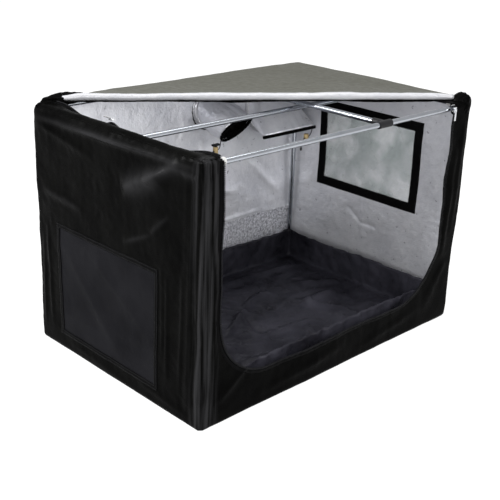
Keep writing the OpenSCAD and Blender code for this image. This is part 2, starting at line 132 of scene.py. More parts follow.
class Finish:
    """One material, with the sockets of its Principled shader set by name."""

    def __init__(self, name, **constants):
        self.material = bpy.data.materials.new(name)
        self.material.use_nodes = True
        self.tree = self.material.node_tree
        self.shader = self.tree.nodes["Principled BSDF"]
        for socket, value in constants.items():
            self.set(socket.replace("_", " "), value)

    def feed(self, socket, value):
        """Links a wire to a socket, or gives the socket a plain value."""
        if isinstance(value, Wire):
            self.tree.links.new(value.socket, socket)
        else:
            socket.default_value = value

    def node(self, kind, settings=None, sockets=None, out=0):
        """Adds a node, with its settings first and then its sockets' values or links."""
        made = self.tree.nodes.new(kind)
        for key, value in (settings or {}).items():
            setattr(made, key, value)
        for key, value in (sockets or {}).items():
            self.feed(made.inputs[key], value)
        return Wire(self, made.outputs[out])

    def maths(self, operation, *values):
        """One Math node on wires or numbers."""
        return self.node("ShaderNodeMath", {"operation": operation}, dict(enumerate(values)))

    def axis(self, where, k):
        """One coordinate of a place: 0, 1 or 2 for x, y or z."""
        return self.node("ShaderNodeSeparateXYZ", {}, {0: where}, out=k)

    def set(self, socket, value):
        """Feeds a socket of the shader."""
        self.feed(self.shader.inputs[socket], value)

    def surface(self, colour, roughness, normal):
        """Feeds the three sockets that every finish has, and gives back its material."""
        self.set("Base Color", colour)
        self.set("Roughness", roughness)
        self.set("Normal", normal)
        return self.material

    def place(self, uv=False, scale=(1, 1, 1)):
        """Metres over the piece: its own UV map, or its place in the tent."""
        where = self.node("ShaderNodeTexCoord", out="UV" if uv else "Object")
        return self.node("ShaderNodeMapping", {}, {"Vector": where, "Scale": scale})

    def grain(self, where, scale, detail=3.0, roughness=0.55):
        """Soft noise from 0 to 1, with features of about 1 / scale metres."""
        sockets = {"Vector": where, "Scale": scale, "Detail": detail, "Roughness": roughness}
        return self.node("ShaderNodeTexNoise", {}, sockets)

    def mix(self, share, a, b):
        """Mixes two colours."""
        return self.node(
            "ShaderNodeMix", {"data_type": "RGBA"}, {"Factor": share, 6: a, 7: b}, out=2
        )

    def between(self, value, low, high, to_low=0.0, to_high=1.0):
        """Maps low..high to to_low..to_high and holds the ends."""
        sockets = {"Value": value, 1: low, 2: high, 3: to_low, 4: to_high}
        return self.node("ShaderNodeMapRange", {"clamp": True}, sockets)

    def bump(self, height, strength, distance, under=None):
        """A bump, in metres of height, on top of another one."""
        sockets = {"Height": height, "Strength": strength, "Distance": distance}
        if under:
            sockets["Normal"] = under
        return self.node("ShaderNodeBump", {}, sockets)

    def weave(self, where, pitch):
        """Plain weave from 0 to 1: two sets of threads that cross, pitch metres apart."""
        warp, weft = (self.maths("SINE", self.axis(where, k) * (math.pi / pitch)) for k in (0, 1))
        return self.maths("ABSOLUTE", warp * weft)


# %% [markdown]
# ## Black coated cloth
# The outside is a tight black weave with a thin coating behind it. It is nearly black, but every
# crease catches the light, so the roughness stays in the middle and a broad, weak grain lifts the
# black in patches. Pale streaks beside the front left post, and pale lines along the sharpest creases
# that an attribute of the wall marks, are painted highlights in the base colour. The weave follows
# the cloth's own UV map, which is in metres.

# %% Black cloth, tray cloth and tape
BLACK = (0.0006, 0.0006, 0.0006, 1)
LIFTED_BLACK = (0.0020, 0.0020, 0.0019, 1)
# painted highlight colour, for the pale streaks by the post and the pale crease lines
PAINTED_HIGHLIGHT_BLACK = (0.0150, 0.0150, 0.0158, 1)
# where the painted highlight streaks start and are full, on the way to the front left post
HIGHLIGHT_STREAK_Y, HIGHLIGHT_STREAK_X = (-0.262, -0.288), (-0.392, -0.424)


def cloth_finish(name, dark, light, crease, roughness=(0.22, 0.36), pitch=0.0011, shine=0.008,
                 bumps=0.2, painted_highlight=None):
    """Coated weave whose creases are crease metres high."""
    finish = Finish(name, Specular_IOR_Level=shine)
    where = finish.place()
    broad = finish.grain(where, 7, 4)
    small = finish.grain(where, 48, 5, 0.62)
    colour = finish.mix(finish.between(broad + small * 0.4, 0.45, 0.95), dark, light)
    # painted highlights: pale streaks by the front left post, and pale crease lines from the wall's
    # attribute
    if painted_highlight:
        highlight_streaks = finish.grain(finish.place(scale=(1, 1, 0.03)), 110, 2)
        post = finish.between(finish.axis(where, 1), *HIGHLIGHT_STREAK_Y) * finish.between(finish.axis(where, 0), *HIGHLIGHT_STREAK_X)
        colour = finish.mix(post * finish.between(highlight_streaks, 0.38, 0.62), colour, painted_highlight)
        painted_crease_highlight = finish.node("ShaderNodeAttribute", {"attribute_name": "painted_crease_highlight"}, out=2)
        colour = finish.mix(painted_crease_highlight * (0.6 + small * 0.8), colour, painted_highlight)
    ridges = finish.node(
        "ShaderNodeTexNoise",
        {"noise_type": "RIDGED_MULTIFRACTAL"},
        {"Vector": where, "Scale": 21.0, "Detail": 3.0, "Roughness": 0.5},
    )
    creases = finish.bump(ridges + small * 0.5, bumps, crease)
    threads = finish.bump(finish.weave(finish.place(uv=True), pitch), 0.12, 0.0002, creases)
    return finish.surface(colour, finish.between(small, 0.3, 0.7, *roughness), threads)


BLACK_CLOTH = cloth_finish("black_cloth", BLACK, LIFTED_BLACK, 0.0016, painted_highlight=PAINTED_HIGHLIGHT_BLACK)
TRAY_CLOTH = cloth_finish(
    "tray_cloth", (0.0050, 0.0048, 0.0066, 1), (0.030, 0.0295, 0.038, 1), 0.0040, (0.24, 0.42),
    shine=0.06, bumps=0.5,
)
TAPE = cloth_finish(
    "binding_tape", (0.0014, 0.0014, 0.0015, 1), (0.0032, 0.0032, 0.0033, 1), 0.0004, pitch=0.0016
)

# %% [markdown]
# ## Metallised lining
# The lining is a bright film pressed with a small pattern of cells so that it scatters light. Each
# cell is a tiny dent, which a Voronoi bump gives, and wider creases break the reflections into
# patches. A plain mirror would show the tubes as sharp lines, which the real film never does. Its
# copies are painted brighter or darker as painted light, and the low back wall has painted shade.

# %% Silver lining
def lining_finish(name, crinkle_and_painted_shade_below=0.0, bright=0.72, metal=0.58):
    """Bright film whose colour bright scales; a scale other than the default is painted light or painted
    shade. Below a height the film is more crinkled, with painted shade and painted glint specks in its
    colour.
    """
    dull, clean = (0.70, 0.71, 0.76), (0.94, 0.94, 0.97)
    finish = Finish(name, Metallic=metal, Specular_IOR_Level=0.5)
    where = finish.place()
    broad = finish.grain(where, 9, 4)
    fine = finish.grain(where, 60, 4, 0.65)
    colour = finish.mix(
        finish.between(broad * 0.6 + fine * 0.4, 0.3, 0.75),
        *((*(c * bright for c in shade), 1) for shade in (dull, clean)),
    )
    cells = finish.node("ShaderNodeTexVoronoi", {"feature": "F1"}, {"Vector": where, "Scale": 190.0})
    dents = finish.bump(cells, 0.4, 0.0006)
    relief = broad + fine * 0.35
    if crinkle_and_painted_shade_below:
        height = finish.axis(where, 2)
        # painted shade and painted glints: below the height the colour is darkened and flecked with bright
        # specks, on top of the real crinkle bump
        low = finish.between(height + broad * 0.006, crinkle_and_painted_shade_below + 0.004, crinkle_and_painted_shade_below)
        specks = finish.between(finish.grain(where, 150, 5, 0.75), 0.42, 0.58)
        dark = finish.mix(specks, (0.20, 0.20, 0.24, 1), (0.95, 0.95, 1.0, 1))
        colour = finish.mix(low * 0.75, colour, dark)
        relief = relief + low * specks * 0.5
    rough = finish.between(fine, 0.3, 0.7, 0.26, 0.46)
    return finish.surface(colour, rough, finish.bump(relief, 0.6, 0.006, dents))


# lit and shaded copies of one film: the back wall and the socks are painted brighter, and the flap's fold
# painted darker, than the side walls
LINING = lining_finish("silver_lining")
BACK_LINING_PAINTED_LIGHT = lining_finish("silver_lining_back_painted_light", crinkle_and_painted_shade_below=0.163, bright=0.92)
FOLD_LINING_PAINTED_SHADE = lining_finish("silver_lining_fold_painted_shade", bright=0.36, metal=0.1)
SOCK_LINING_PAINTED_LIGHT = lining_finish("silver_lining_sock_painted_light", bright=1.0)

# %% [markdown]
# ## Plainer finishes
# Tubes, plastics and zips each get a short recipe. The tubes are bright, with fine marks from
# drawing and polishing. Moulded plastic and cast metal share one recipe, a fine grain with a few
# scuffs, and differ in colour, gloss and whether they are metal.


# %% Tube steel, plastics and zip metal
def steel_finish():
    """Polished steel: fine marks, and broad patches that are a little brighter."""
    finish = Finish("steel_tube", Metallic=1.0, Specular_IOR_Level=0.5)
    where = finish.place()
    marks = finish.grain(where, 260, 3)
    colour = finish.mix(finish.grain(where, 14, 3), (0.30, 0.32, 0.35, 1), (0.48, 0.50, 0.54, 1))
    rough = finish.between(marks, 0.3, 0.7, 0.12, 0.22)
    return finish.surface(colour, rough, finish.bump(marks, 0.03, 0.0003))


def plastic_finish(name, colour, roughness, metallic=0.0, shine=0.5):
    """Moulded plastic, or cast metal, with a fine moulded grain and a few scuffs."""
    finish = Finish(name, Metallic=metallic, Specular_IOR_Level=shine)
    where = finish.place()
    scuffs = finish.grain(where, 70, 5, 0.7)
    darker = (*(0.72 * c for c in colour), 1)
    shade = finish.mix(finish.between(scuffs, 0.35, 0.7), darker, (*colour, 1))
    rough = finish.between(scuffs, 0.3, 0.7, roughness - 0.1, roughness + 0.12)
    return finish.surface(shade, rough, finish.bump(finish.grain(where, 900, 2), 0.2, 0.0002))


STEEL = steel_finish()
WHITE_PLASTIC = plastic_finish("white_plastic", (0.46, 0.46, 0.45), 0.42)
BLACK_PLASTIC = plastic_finish("black_plastic", (0.010, 0.010, 0.011), 0.45, shine=0.12)
TAN_PLASTIC = plastic_finish("tan_plastic", (0.52, 0.38, 0.17), 0.40)
ZIP_METAL = plastic_finish("zip_metal", (0.80, 0.81, 0.83), 0.22, metallic=0.95)
ZIP_TEETH = plastic_finish("zip_teeth", (0.006, 0.006, 0.007), 0.45, shine=0.06)

# %% [markdown]
# ## Netting, clear sheet and hook tape
# The netting is thread with real holes. Two waves that cross give the threads, and the Alpha socket
# cuts what lies between them. The window keeps a little haze and scuffing, or it would vanish. Hook
# tape is a bed of tiny stiff hooks, so its bump is strong and its surface dull.


# %% Netting, clear sheet and hook tape
def mesh_finish(pitch=0.0024, thread=0.62):
    """Netting whose threads are pitch metres apart. A bigger thread share closes the holes."""
    finish = Finish("mesh", Specular_IOR_Level=0.02)
    where = finish.place(uv=True)
    warp, weft = (finish.maths("COSINE", finish.axis(where, k) * (2 * math.pi / pitch)) for k in (0, 1))
    cover = finish.maths("MAXIMUM", warp, weft)
    finish.set("Alpha", finish.between(cover, 1 - 2 * thread, 1.2 - 2 * thread))
    broad = finish.grain(finish.place(), 9, 3)
    colour = finish.mix(broad, (0.0015, 0.0015, 0.0022, 1), (0.0110, 0.0110, 0.0128, 1))
    return finish.surface(colour, 0.55, finish.bump(cover, 0.4, 0.0003))


def clear_finish():
    """Clear film with haze in broad patches and fine scuffs."""
    finish = Finish("clear_sheet", Specular_IOR_Level=0.6, Coat_Weight=0.3)
    where = finish.place()
    haze = finish.grain(where, 6, 4)
    scuffs = finish.grain(where, 90, 5, 0.7)
    patches = finish.between(finish.grain(where, 11, 2), 0.42, 0.62)
    finish.set("Alpha", finish.between(haze + scuffs * 0.3, 0.5, 0.8, 0.30, 0.50))
    colour = finish.mix(patches, (0.40, 0.45, 0.44, 1), (0.72, 0.74, 0.75, 1))
    rough = finish.between(scuffs, 0.35, 0.7, 0.06, 0.22)
    return finish.surface(colour, rough, finish.bump(haze, 0.35, 0.002))


def cell_finish(name, scale, dark, light, roughness, strength, height):
    """Small packed cells, for hook tape and for braided cord."""
    finish = Finish(name, Specular_IOR_Level=0.3)
    cells = finish.node("ShaderNodeTexVoronoi", {}, {"Vector": finish.place(), "Scale": scale})
    return finish.surface(finish.mix(cells, dark, light), roughness, finish.bump(cells, strength, height))


NETTING = mesh_finish()
CLEAR = clear_finish()
HOOK = cell_finish(
    "hook_tape", 900.0, (0.010, 0.010, 0.011, 1), (0.035, 0.035, 0.037, 1), 0.8, 0.8, 0.0006
)
print("finishes:", len(bpy.data.materials))

# %% [markdown]
# ## Giving the CAD nodes their finish
# The tubes, connectors, clips and sliders keep their CAD shape, which is exact. Each only swaps the
# plain colour that came with it for one of the finishes above, by the slot that the record names.

# %% Paint the CAD nodes
BY_SLOT = {
    "black_cloth": BLACK_CLOTH, "tray_cloth": TRAY_CLOTH, "silver_lining": LINING,
    "binding_tape": TAPE, "hook_tape": HOOK, "mesh": NETTING, "clear_sheet": CLEAR,
    "zip_teeth": ZIP_TEETH, "steel_tube": STEEL, "white_plastic": WHITE_PLASTIC,
    "black_plastic": BLACK_PLASTIC, "tan_plastic": TAN_PLASTIC, "zip_metal": ZIP_METAL,
}
for row in frame["record"]["subparts"]:
    for material_slot in frame["nodes"][row["node"]].material_slots:
        material_slot.material = BY_SLOT[row["material_slot"]]

# %% [markdown]
# ## The two drawcords come first
# Each duct sock closes with a cord through its hem. The cord leaves the hem, runs through its cord
# lock, and hangs to a knot. A limp cord turns down under its own weight, so its free end is a soft
# hook and not a straight stick. The route's points are those of the CAD model, in metres.

# %% Make the drawcords
CORD_D = 0.0025
SMALL_ROUTE = [
    (0.0775, 0.224, 0.4402), (0.0768, 0.224, 0.434), (0.0748, 0.223, 0.427), (0.071, 0.222, 0.4205),
    (0.065, 0.222, 0.416), (0.058, 0.222, 0.415), (0.052, 0.222, 0.415), (0.046, 0.222, 0.414),
    (0.041, 0.222, 0.410), (0.038, 0.222, 0.403), (0.037, 0.222, 0.395), (0.037, 0.222, 0.388),
]
LARGE_ROUTE = [
    (0.419, 0.203, 0.430), (0.420, 0.203, 0.423), (0.418, 0.203, 0.416), (0.413, 0.203, 0.409),
    (0.406, 0.203, 0.404), (0.398, 0.203, 0.402), (0.392, 0.203, 0.402), (0.386, 0.203, 0.401),
    (0.381, 0.203, 0.397), (0.378, 0.203, 0.390), (0.377, 0.203, 0.383), (0.377, 0.203, 0.376),
]

BRAID = cell_finish(
    "cord_braid", 1400.0, (0.008, 0.008, 0.008, 1), (0.045, 0.045, 0.048, 1), 0.7, 0.7, 0.0004
)


def new_piece(name, data, body, replaced=()):
    """Links an object that rides on a body and stands for the nodes that it replaces."""
    obj = bpy.data.objects.new(name, data)
    bpy.context.scene.collection.objects.link(obj)
    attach(obj, body)
    if replaced:
        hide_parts(*replaced)
    return obj


def drawcord(name, route, node):
    """A round cord along a route, with a knot of three small balls under its end."""
    curve = bpy.data.curves.new(name, "CURVE")
    curve.dimensions = "3D"
    curve.bevel_depth = CORD_D / 2
    curve.bevel_resolution = 3
    curve.resolution_u = 4
    curve.use_fill_caps = True
    spline = curve.splines.new("NURBS")
    spline.points.add(len(route) - 1)
    for point, place in zip(spline.points, route):
        point.co = (*place, 1)
    spline.use_endpoint_u = True
    spline.order_u = 4
    curve.materials.append(BRAID)
    obj = new_piece(name, curve, "tent", [node])
    bm = bmesh.new()
    for drop, size in ((0.0012, 0.0028), (0.0042, 0.0034), (0.0070, 0.0024)):
        bmesh.ops.create_uvsphere(
            bm, u_segments=16, v_segments=10, radius=size,
            matrix=Matrix.Translation(Vector(route[-1]) - Vector((0, 0, drop))),
        )
    mesh = bpy.data.meshes.new(name + "_knot")
    bm.to_mesh(mesh)
    bm.free()
    mesh.materials.append(BRAID)
    mesh.polygons.foreach_set("use_smooth", [True] * len(mesh.polygons))
    knot = new_piece(name + "_knot", mesh, "tent")
    return obj


drawcord("drawcord_small_braid", SMALL_ROUTE, "drawcord_small")
drawcord("drawcord_large_braid", LARGE_ROUTE, "drawcord_large")
print("drawcords: 2, each", CORD_D * 1000, "mm across")

# %% [markdown]
# ## Cloth as a grid that is put in place
# A panel of cloth is a flat grid at first. Every vertex knows how far along and up the panel it is,
# in metres, and a function then puts it on the tent. That keeps the texture map in metres, so the
# weave has one size everywhere. Holes are cut where faces are left out, so the grid gets a row
# exactly on each hole's edge. A Solidify modifier gives the cloth its thickness and its lining.


# %% Helpers for panels
def rows(*marks, step=0.006):
    """Places from the first mark to the last, evenly spaced between marks."""
    places = []
    for a, b in zip(marks, marks[1:]):
        count = max(1, round(abs(b - a) / step))
        places += [a + (b - a) * k / count for k in range(count)]
    return places + [marks[-1]]


def smooth(low, high, value):
    """0 below low, 1 above high, and a soft ramp between. low may be above high."""
    t = min(1.0, max(0.0, (value - low) / (high - low)))
    return t * t * (3 - 2 * t)


def panel_mesh(us, vs, put, outward, hole=None, weld=False, uv_scale=(1, 1)):
    """A grid with a vertex at each u and v, put in place by a function of u and v."""
    bm = bmesh.new()
    layer = bm.loops.layers.uv.new("cloth")
    bmesh.ops.create_grid(bm, x_segments=len(us) - 1, y_segments=len(vs) - 1, size=1)
    flat = {}
    for vert in bm.verts:
        flat[vert] = (
            us[round((vert.co.x + 1) / 2 * (len(us) - 1))],
            vs[round((vert.co.y + 1) / 2 * (len(vs) - 1))],
        )
    for face in bm.faces:
        for loop in face.loops:
            loop[layer].uv = [a * b for a, b in zip(flat[loop.vert], uv_scale)]
    if hole:
        out = [f for f in bm.faces if hole(*(sum(flat[v][k] for v in f.verts) / 4 for k in (0, 1)))]
        bmesh.ops.delete(bm, geom=out, context="FACES")
    for vert in bm.verts:
        vert.co = put(*flat[vert])
    if weld:
        bmesh.ops.remove_doubles(bm, verts=bm.verts, dist=0.00005)
    bm.normal_update()
    facing = sum(f.normal.dot(outward(f.calc_center_median())) * f.calc_area() for f in bm.faces)
    if facing < 0:
        bmesh.ops.reverse_faces(bm, faces=bm.faces)
    return bm


def finish_piece(name, bm, body, finishes, replaced=(), thick=0.0, rim=1):
    """Makes a bmesh a smooth piece, with thickness added on the inner side."""
    mesh = bpy.data.meshes.new(name)
    bm.to_mesh(mesh)
    bm.free()
    for one in finishes:
        mesh.materials.append(one)
    mesh.polygons.foreach_set("use_smooth", [True] * len(mesh.polygons))
    obj = new_piece(name, mesh, body, replaced)
    if thick:
        wall = obj.modifiers.new("thickness", "SOLIDIFY")
        wall.thickness = thick
        wall.offset = -1
        wall.material_offset = len(finishes) - 1
        wall.material_offset_rim = min(rim, len(finishes) - 1)
    return obj


def out_of(centre):
    """An outward direction for panels that face away from a centre."""
    return lambda at: at - Vector(centre)


def one_way(*direction):
    return lambda at: Vector(direction)


# %% [markdown]
# ## How the cloth hangs on the frame
# The sewn box is a little too big for its tubes. It turns softly over each tube, billows slightly
# between them, and throws long creases where it is pulled. One function gives the place of any
# point of the box, so two panels that meet at an edge meet exactly, and tapes, netting and covers
# follow the wall that they are sewn to. The creases are listed by their two ends.

# %% The soft box
TENT_LOW = Vector(LOW)
TENT_HIGH = Vector(HIGH)
TURN = 0.012
SLACK_TURN = 0.015
CORNER_TURN = 0.009
STRIP_SAG = 0.018
# ends of a crease, each as metres across and up its wall, its half width and its height
CREASES = {
    "left": [
        ((-0.225, 0.574), (-0.130, 0.515), 0.012, 0.0110), ((-0.195, 0.556), (-0.040, 0.480), 0.018, 0.0150),
        ((-0.292, 0.576), (0.170, 0.573), 0.006, 0.0060), ((-0.100, 0.574), (0.290, 0.572), 0.006, 0.0050),
        ((-0.200, 0.566), (-0.292, 0.560), 0.007, 0.0050), ((-0.190, 0.455), (-0.135, 0.403), 0.007, 0.0045),
        ((-0.140, 0.404), (-0.040, 0.359), 0.008, 0.0045), ((0.265, 0.402), (0.100, 0.388), 0.010, 0.0050),
        ((0.285, 0.560), (0.060, 0.520), 0.012, 0.0045), ((-0.262, 0.020), (-0.264, 0.520), 0.008, 0.0045),
        ((-0.236, 0.060), (-0.240, 0.360), 0.006, 0.0030), ((-0.192, 0.070), (-0.188, 0.330), 0.005, 0.0028),
        ((-0.176, 0.120), (-0.172, 0.350), 0.004, 0.0022), ((0.246, 0.050), (0.252, 0.330), 0.006, 0.0034),
        ((0.276, 0.030), (0.272, 0.300), 0.006, 0.0030), ((0.200, 0.300), (-0.040, 0.060), 0.020, 0.0040),
        ((0.120, 0.320), (-0.148, 0.150), 0.016, 0.0030), ((-0.285, 0.020), (-0.080, 0.043), 0.010, 0.0030),
        ((0.180, 0.030), (-0.050, 0.016), 0.009, 0.0030),
    ],
    "front": [
        ((-0.436, 0.570), (-0.432, 0.150), 0.005, 0.0026), ((-0.421, 0.590), (-0.418, 0.260), 0.005, 0.0028),
        ((-0.410, 0.430), (-0.412, 0.200), 0.004, 0.0020), ((-0.420, 0.050), (-0.300, 0.125), 0.010, 0.0042),
        ((-0.300, 0.030), (0.020, 0.060), 0.009, 0.0036), ((0.050, 0.024), (0.330, 0.066), 0.009, 0.0036),
        ((0.428, 0.560), (0.418, 0.240), 0.008, 0.0040), ((0.404, 0.500), (0.392, 0.180), 0.008, 0.0046),
        ((0.420, 0.180), (0.330, 0.050), 0.009, 0.0040),
    ],
    "right": [
        ((-0.270, 0.560), (-0.190, 0.330), 0.018, -0.0026), ((0.150, 0.262), (0.100, 0.130), 0.022, -0.0040),
        ((0.230, 0.580), (-0.180, 0.545), 0.010, -0.0026), ((0.012, 0.262), (0.012, 0.120), 0.008, -0.0024),
        ((0.075, 0.220), (0.020, 0.180), 0.005, 0.0026), ((0.030, 0.182), (-0.040, 0.182), 0.005, 0.0026),
    ],
    "back": [
        ((-0.400, 0.168), (0.400, 0.169), 0.006, -0.0030), ((0.020, 0.300), (0.230, 0.245), 0.014, -0.0044),
        ((-0.100, 0.330), (0.170, 0.380), 0.016, -0.0044), ((0.240, 0.350), (0.400, 0.210), 0.012, -0.0040),
    ],
    "other": [],
}


def side_of(p):
    """The name of the wall that a point of the box is on."""
    gaps = {
        "left": p.x - TENT_LOW.x, "right": TENT_HIGH.x - p.x, "front": p.y - TENT_LOW.y,
        "back": TENT_HIGH.y - p.y, "other": min(p.z, TENT_HIGH.z - p.z),
    }
    return min(gaps, key=gaps.get)


def on_wall(side, across, up):
    """Place on a wall of the sharp box."""
    if side in ("left", "right"):
        return Vector((LOW[0] if side == "left" else HIGH[0], across, up))
    return Vector((across, LOW[1] if side == "front" else HIGH[1], up))


CREASE_LINES = {
    side: [(on_wall(side, *a), on_wall(side, *b), w, h) for a, b, w, h in lines]
    for side, lines in CREASES.items()
}


def crease(p, a, b, width, height):
    """Height of one crease at a point: a sharp ridge that fades at its ends."""
    line = b - a
    t = min(1.0, max(0.0, (p - a).dot(line) / line.length_squared))
    away = (p - a - line * t).length / width
    return height * max(0.0, 1 - abs(2 * t - 1) ** 3) * math.exp(-abs(away) ** 1.4) if away < 4 else 0.0


def folds(p, axis, long, short, seed):
    """Noise whose ridges run along an axis: long metres one way and short metres the other."""
    q = p / short + axis * p.dot(axis) * (1 / long - 1 / short) + Vector((seed, seed * 1.7, seed * 2.3))
    return noise.noise(q)


UP = Vector((0, 0, 1))
SLANT = Vector((0.35, 0.55, 0.76)).normalized()
COUNTER = Vector((-0.45, -0.6, 0.66)).normalized()


def slack_height(p):
    """How far the cloth stands out at a point of the box."""
    billow = 0.0050 * noise.noise(p * 4.2 + Vector((3, 1, 7)))
    long_folds = 0.0013 * folds(p, SLANT, 0.22, 0.050, 4.0) + 0.0010 * folds(p, COUNTER, 0.2, 0.040, 9.0)
    near_post = smooth(0.09, 0.02, abs(p.x - TENT_LOW.x) + abs(p.y - TENT_LOW.y))
    upright = (0.0003 + 0.0016 * near_post) * folds(p, UP, 0.40, 0.014, 2.0)
    crinkle = 0.0005 * (1 - 2 * abs(noise.noise(p * 38))) + 0.0003 * noise.noise(p * 95)
    drawn = sum(crease(p, *line) for line in CREASE_LINES[side_of(p)])
    return (billow + long_folds + upright + crinkle + drawn) * (0.3 + 0.7 * smooth(0.0, 0.06, p.z))


def turn_radius(p):
    """Radius of the cloth over a tube, wider where the slack top-left edge droops."""
    along = max(0.0, 1 - (p.y / TENT_HIGH.y) ** 2) * (1 - 0.6 * math.exp(-((p.y / 0.04) ** 2)))
    left = smooth(0.12, 0.03, (p.x - TENT_LOW.x) + (TENT_HIGH.z - p.z))
    corner = (p - Vector((TENT_LOW.x, TENT_HIGH.y, TENT_HIGH.z))).length
    return TURN + SLACK_TURN * along * left + CORNER_TURN * smooth(0.10, 0.02, corner)


def on_tent(p, depth=0.0):
    """Where a point of the sharp box is on the soft one, a depth under its outer face."""
    r = turn_radius(p)
    core = Vector([min(max(p[k], TENT_LOW[k] + r), TENT_HIGH[k] - r) for k in range(3)])
    out = (p - core).normalized()
    place = core + out * (r + slack_height(p) - depth)
    place.z = max(place.z, 0.0004)
    return place


# %% [markdown]
# ## The walls
# The left wall has a vent, the right wall a window, and the back wall two round ports. The lining
# is the second finish of each panel: Solidify gives it to the inner face. The round ports are cut
# by leaving out the faces inside the collar, and the collar's flange covers the stepped edge.

# %% Left wall, right wall, back wall and floor
VENT_LOW, VENT_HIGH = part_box("vent_mesh")
PANE_LOW, PANE_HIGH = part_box("window_pane")
EDGE_STEP = 0.0045
TURN_ROOM = 0.03


def wall_x(side):
    """Outer face of the left wall for -1, and of the right wall for 1."""
    return LOW[0] if side < 0 else HIGH[0]


def inside(low, high):
    """Tests for a centre in the rectangle between two corners."""
    return lambda u, v: low[0] < u < high[0] and low[1] < v < high[1]


def round_hole(*circles):
    """Tests for a centre in one of some circles."""
    return lambda u, v: any((u - x) ** 2 + (v - z) ** 2 < r * r for x, z, r in circles)


def box_circle(node, inset=0.0):
    """Middle across, middle height and radius of a ring that faces the back."""
    low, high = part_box(node)
    return ((low.x + high.x) / 2, (low.z + high.z) / 2, (high.x - low.x) / 2 - inset)


SMALL_PORT = box_circle("port_collar_small")
LARGE_PORT = box_circle("port_collar_large")


def black_panel(name, bm, nodes, lining=LINING):
    """A panel of black cloth, lined inside, that belongs to the tent's own body."""
    return finish_piece(name, bm, "tent", [BLACK_CLOTH, lining], nodes, CLOTH, rim=0)


def side_wall(name, side, node, low, high):
    """The left or right wall, with a hole between two corners."""
    ys = rows(LOW[1], LOW[1] + TURN_ROOM, low.y, high.y, HIGH[1] - TURN_ROOM, HIGH[1], step=EDGE_STEP)
    zs = rows(0, TURN_ROOM, low.z, high.z, HIGH[2] - TURN_ROOM, HIGH[2], step=EDGE_STEP)
    bm = panel_mesh(
        ys, zs, lambda y, z: on_tent(Vector((wall_x(side), y, z))), one_way(side, 0, 0),
        inside(low.yz, high.yz),
    )
    wall = black_panel(name, bm, [node])
    return wall


left_wall = side_wall("left_wall_cloth", -1, "left_wall", VENT_LOW, VENT_HIGH)
# painted highlights along creases of the left wall: ends, half width and strength
PAINTED_CREASE_HIGHLIGHTS = [
    ((-0.225, 0.576), (-0.130, 0.520), 0.010, 0.9), ((-0.170, 0.536), (-0.050, 0.482), 0.017, 1.0),
    ((-0.290, 0.577), (0.150, 0.574), 0.004, 0.7), ((-0.080, 0.575), (0.290, 0.572), 0.005, 0.5),
    ((-0.205, 0.566), (-0.280, 0.560), 0.007, 0.5), ((-0.140, 0.404), (-0.050, 0.362), 0.004, 0.4),
    ((0.265, 0.402), (0.110, 0.389), 0.005, 0.35), ((-0.195, 0.460), (-0.140, 0.408), 0.004, 0.3),
]
crease_highlight_lines = [(Vector((0, *a)), Vector((0, *b)), width, much) for a, b, width, much in PAINTED_CREASE_HIGHLIGHTS]
# the wall's attribute that places the painted crease highlights
painted_crease_highlight = left_wall.data.attributes.new("painted_crease_highlight", "FLOAT", "POINT")
painted_crease_highlight.data.foreach_set("value", [
    min(1.0, sum(crease(Vector((0, v.co.y, v.co.z)), *line) for line in crease_highlight_lines))
    for v in left_wall.data.vertices
])
side_wall("right_wall_cloth", 1, "right_wall", PANE_LOW, PANE_HIGH)

HOLE_IN = 0.004
ports = [(x, z, r - HOLE_IN) for x, z, r in (SMALL_PORT, LARGE_PORT)]
back_wall = black_panel(
    "back_wall_cloth",
    panel_mesh(
        rows(LOW[0], LOW[0] + TURN_ROOM, HIGH[0] - TURN_ROOM, HIGH[0], step=0.005),
        rows(0, TURN_ROOM, HIGH[2] - TURN_ROOM, HIGH[2], step=0.005),
        lambda x, z: on_tent(Vector((x, HIGH[1], z))), one_way(0, 1, 0), round_hole(*ports),
    ),
    ["back_wall"], BACK_LINING_PAINTED_LIGHT,
)
PORT_AREA = sum(math.pi * r * r for _, _, r in ports)
0.54 - PORT_AREA
floor_cloth = finish_piece(
    "floor_cloth",
    panel_mesh(
        rows(LOW[0], LOW[0] + TURN_ROOM, HIGH[0] - TURN_ROOM, HIGH[0], step=0.012),
        rows(LOW[1], LOW[1] + TURN_ROOM, HIGH[1] - TURN_ROOM, HIGH[1], step=0.012),
        lambda x, y: on_tent(Vector((x, y, 0))), one_way(0, 0, -1),
    ),
    "tent", [BLACK_CLOTH, LINING], ["floor_panel"], 0.0008,
)
print("walls done, faces in the left wall:", len(left_wall.data.polygons))

# %% [markdown]
# ## The front cloth
# The front is a U: two strips beside the posts and a sill, with a big round in each lower corner of
# the opening. Its grid runs along the opening's edge, and each cross row goes from the edge to the
# outline of the front, so the round stays smooth. The right strip hangs loose, so its edge leans
# into the opening and waves.

# %% Front strips, sill and both zips
OPEN_LEFT, OPEN_RIGHT = ZIP_LOW[0], ZIP_HIGH[0]
SILL = ZIP_LOW[2]
ROUND_LEFT = Vector((OPEN_LEFT + CORNER_R, 0, SILL + CORNER_R))
ROUND_RIGHT = Vector((OPEN_RIGHT - CORNER_R, 0, SILL + CORNER_R))
TOP = float(HIGH[2])
STRAIGHT = TOP - ROUND_LEFT.z
ARC = math.pi / 2 * CORNER_R
ALONG_SILL = ROUND_RIGHT.x - ROUND_LEFT.x
MARKS = [0, STRAIGHT, STRAIGHT + ARC, STRAIGHT + ARC + ALONG_SILL,
         STRAIGHT + 2 * ARC + ALONG_SILL, 2 * STRAIGHT + 2 * ARC + ALONG_SILL]


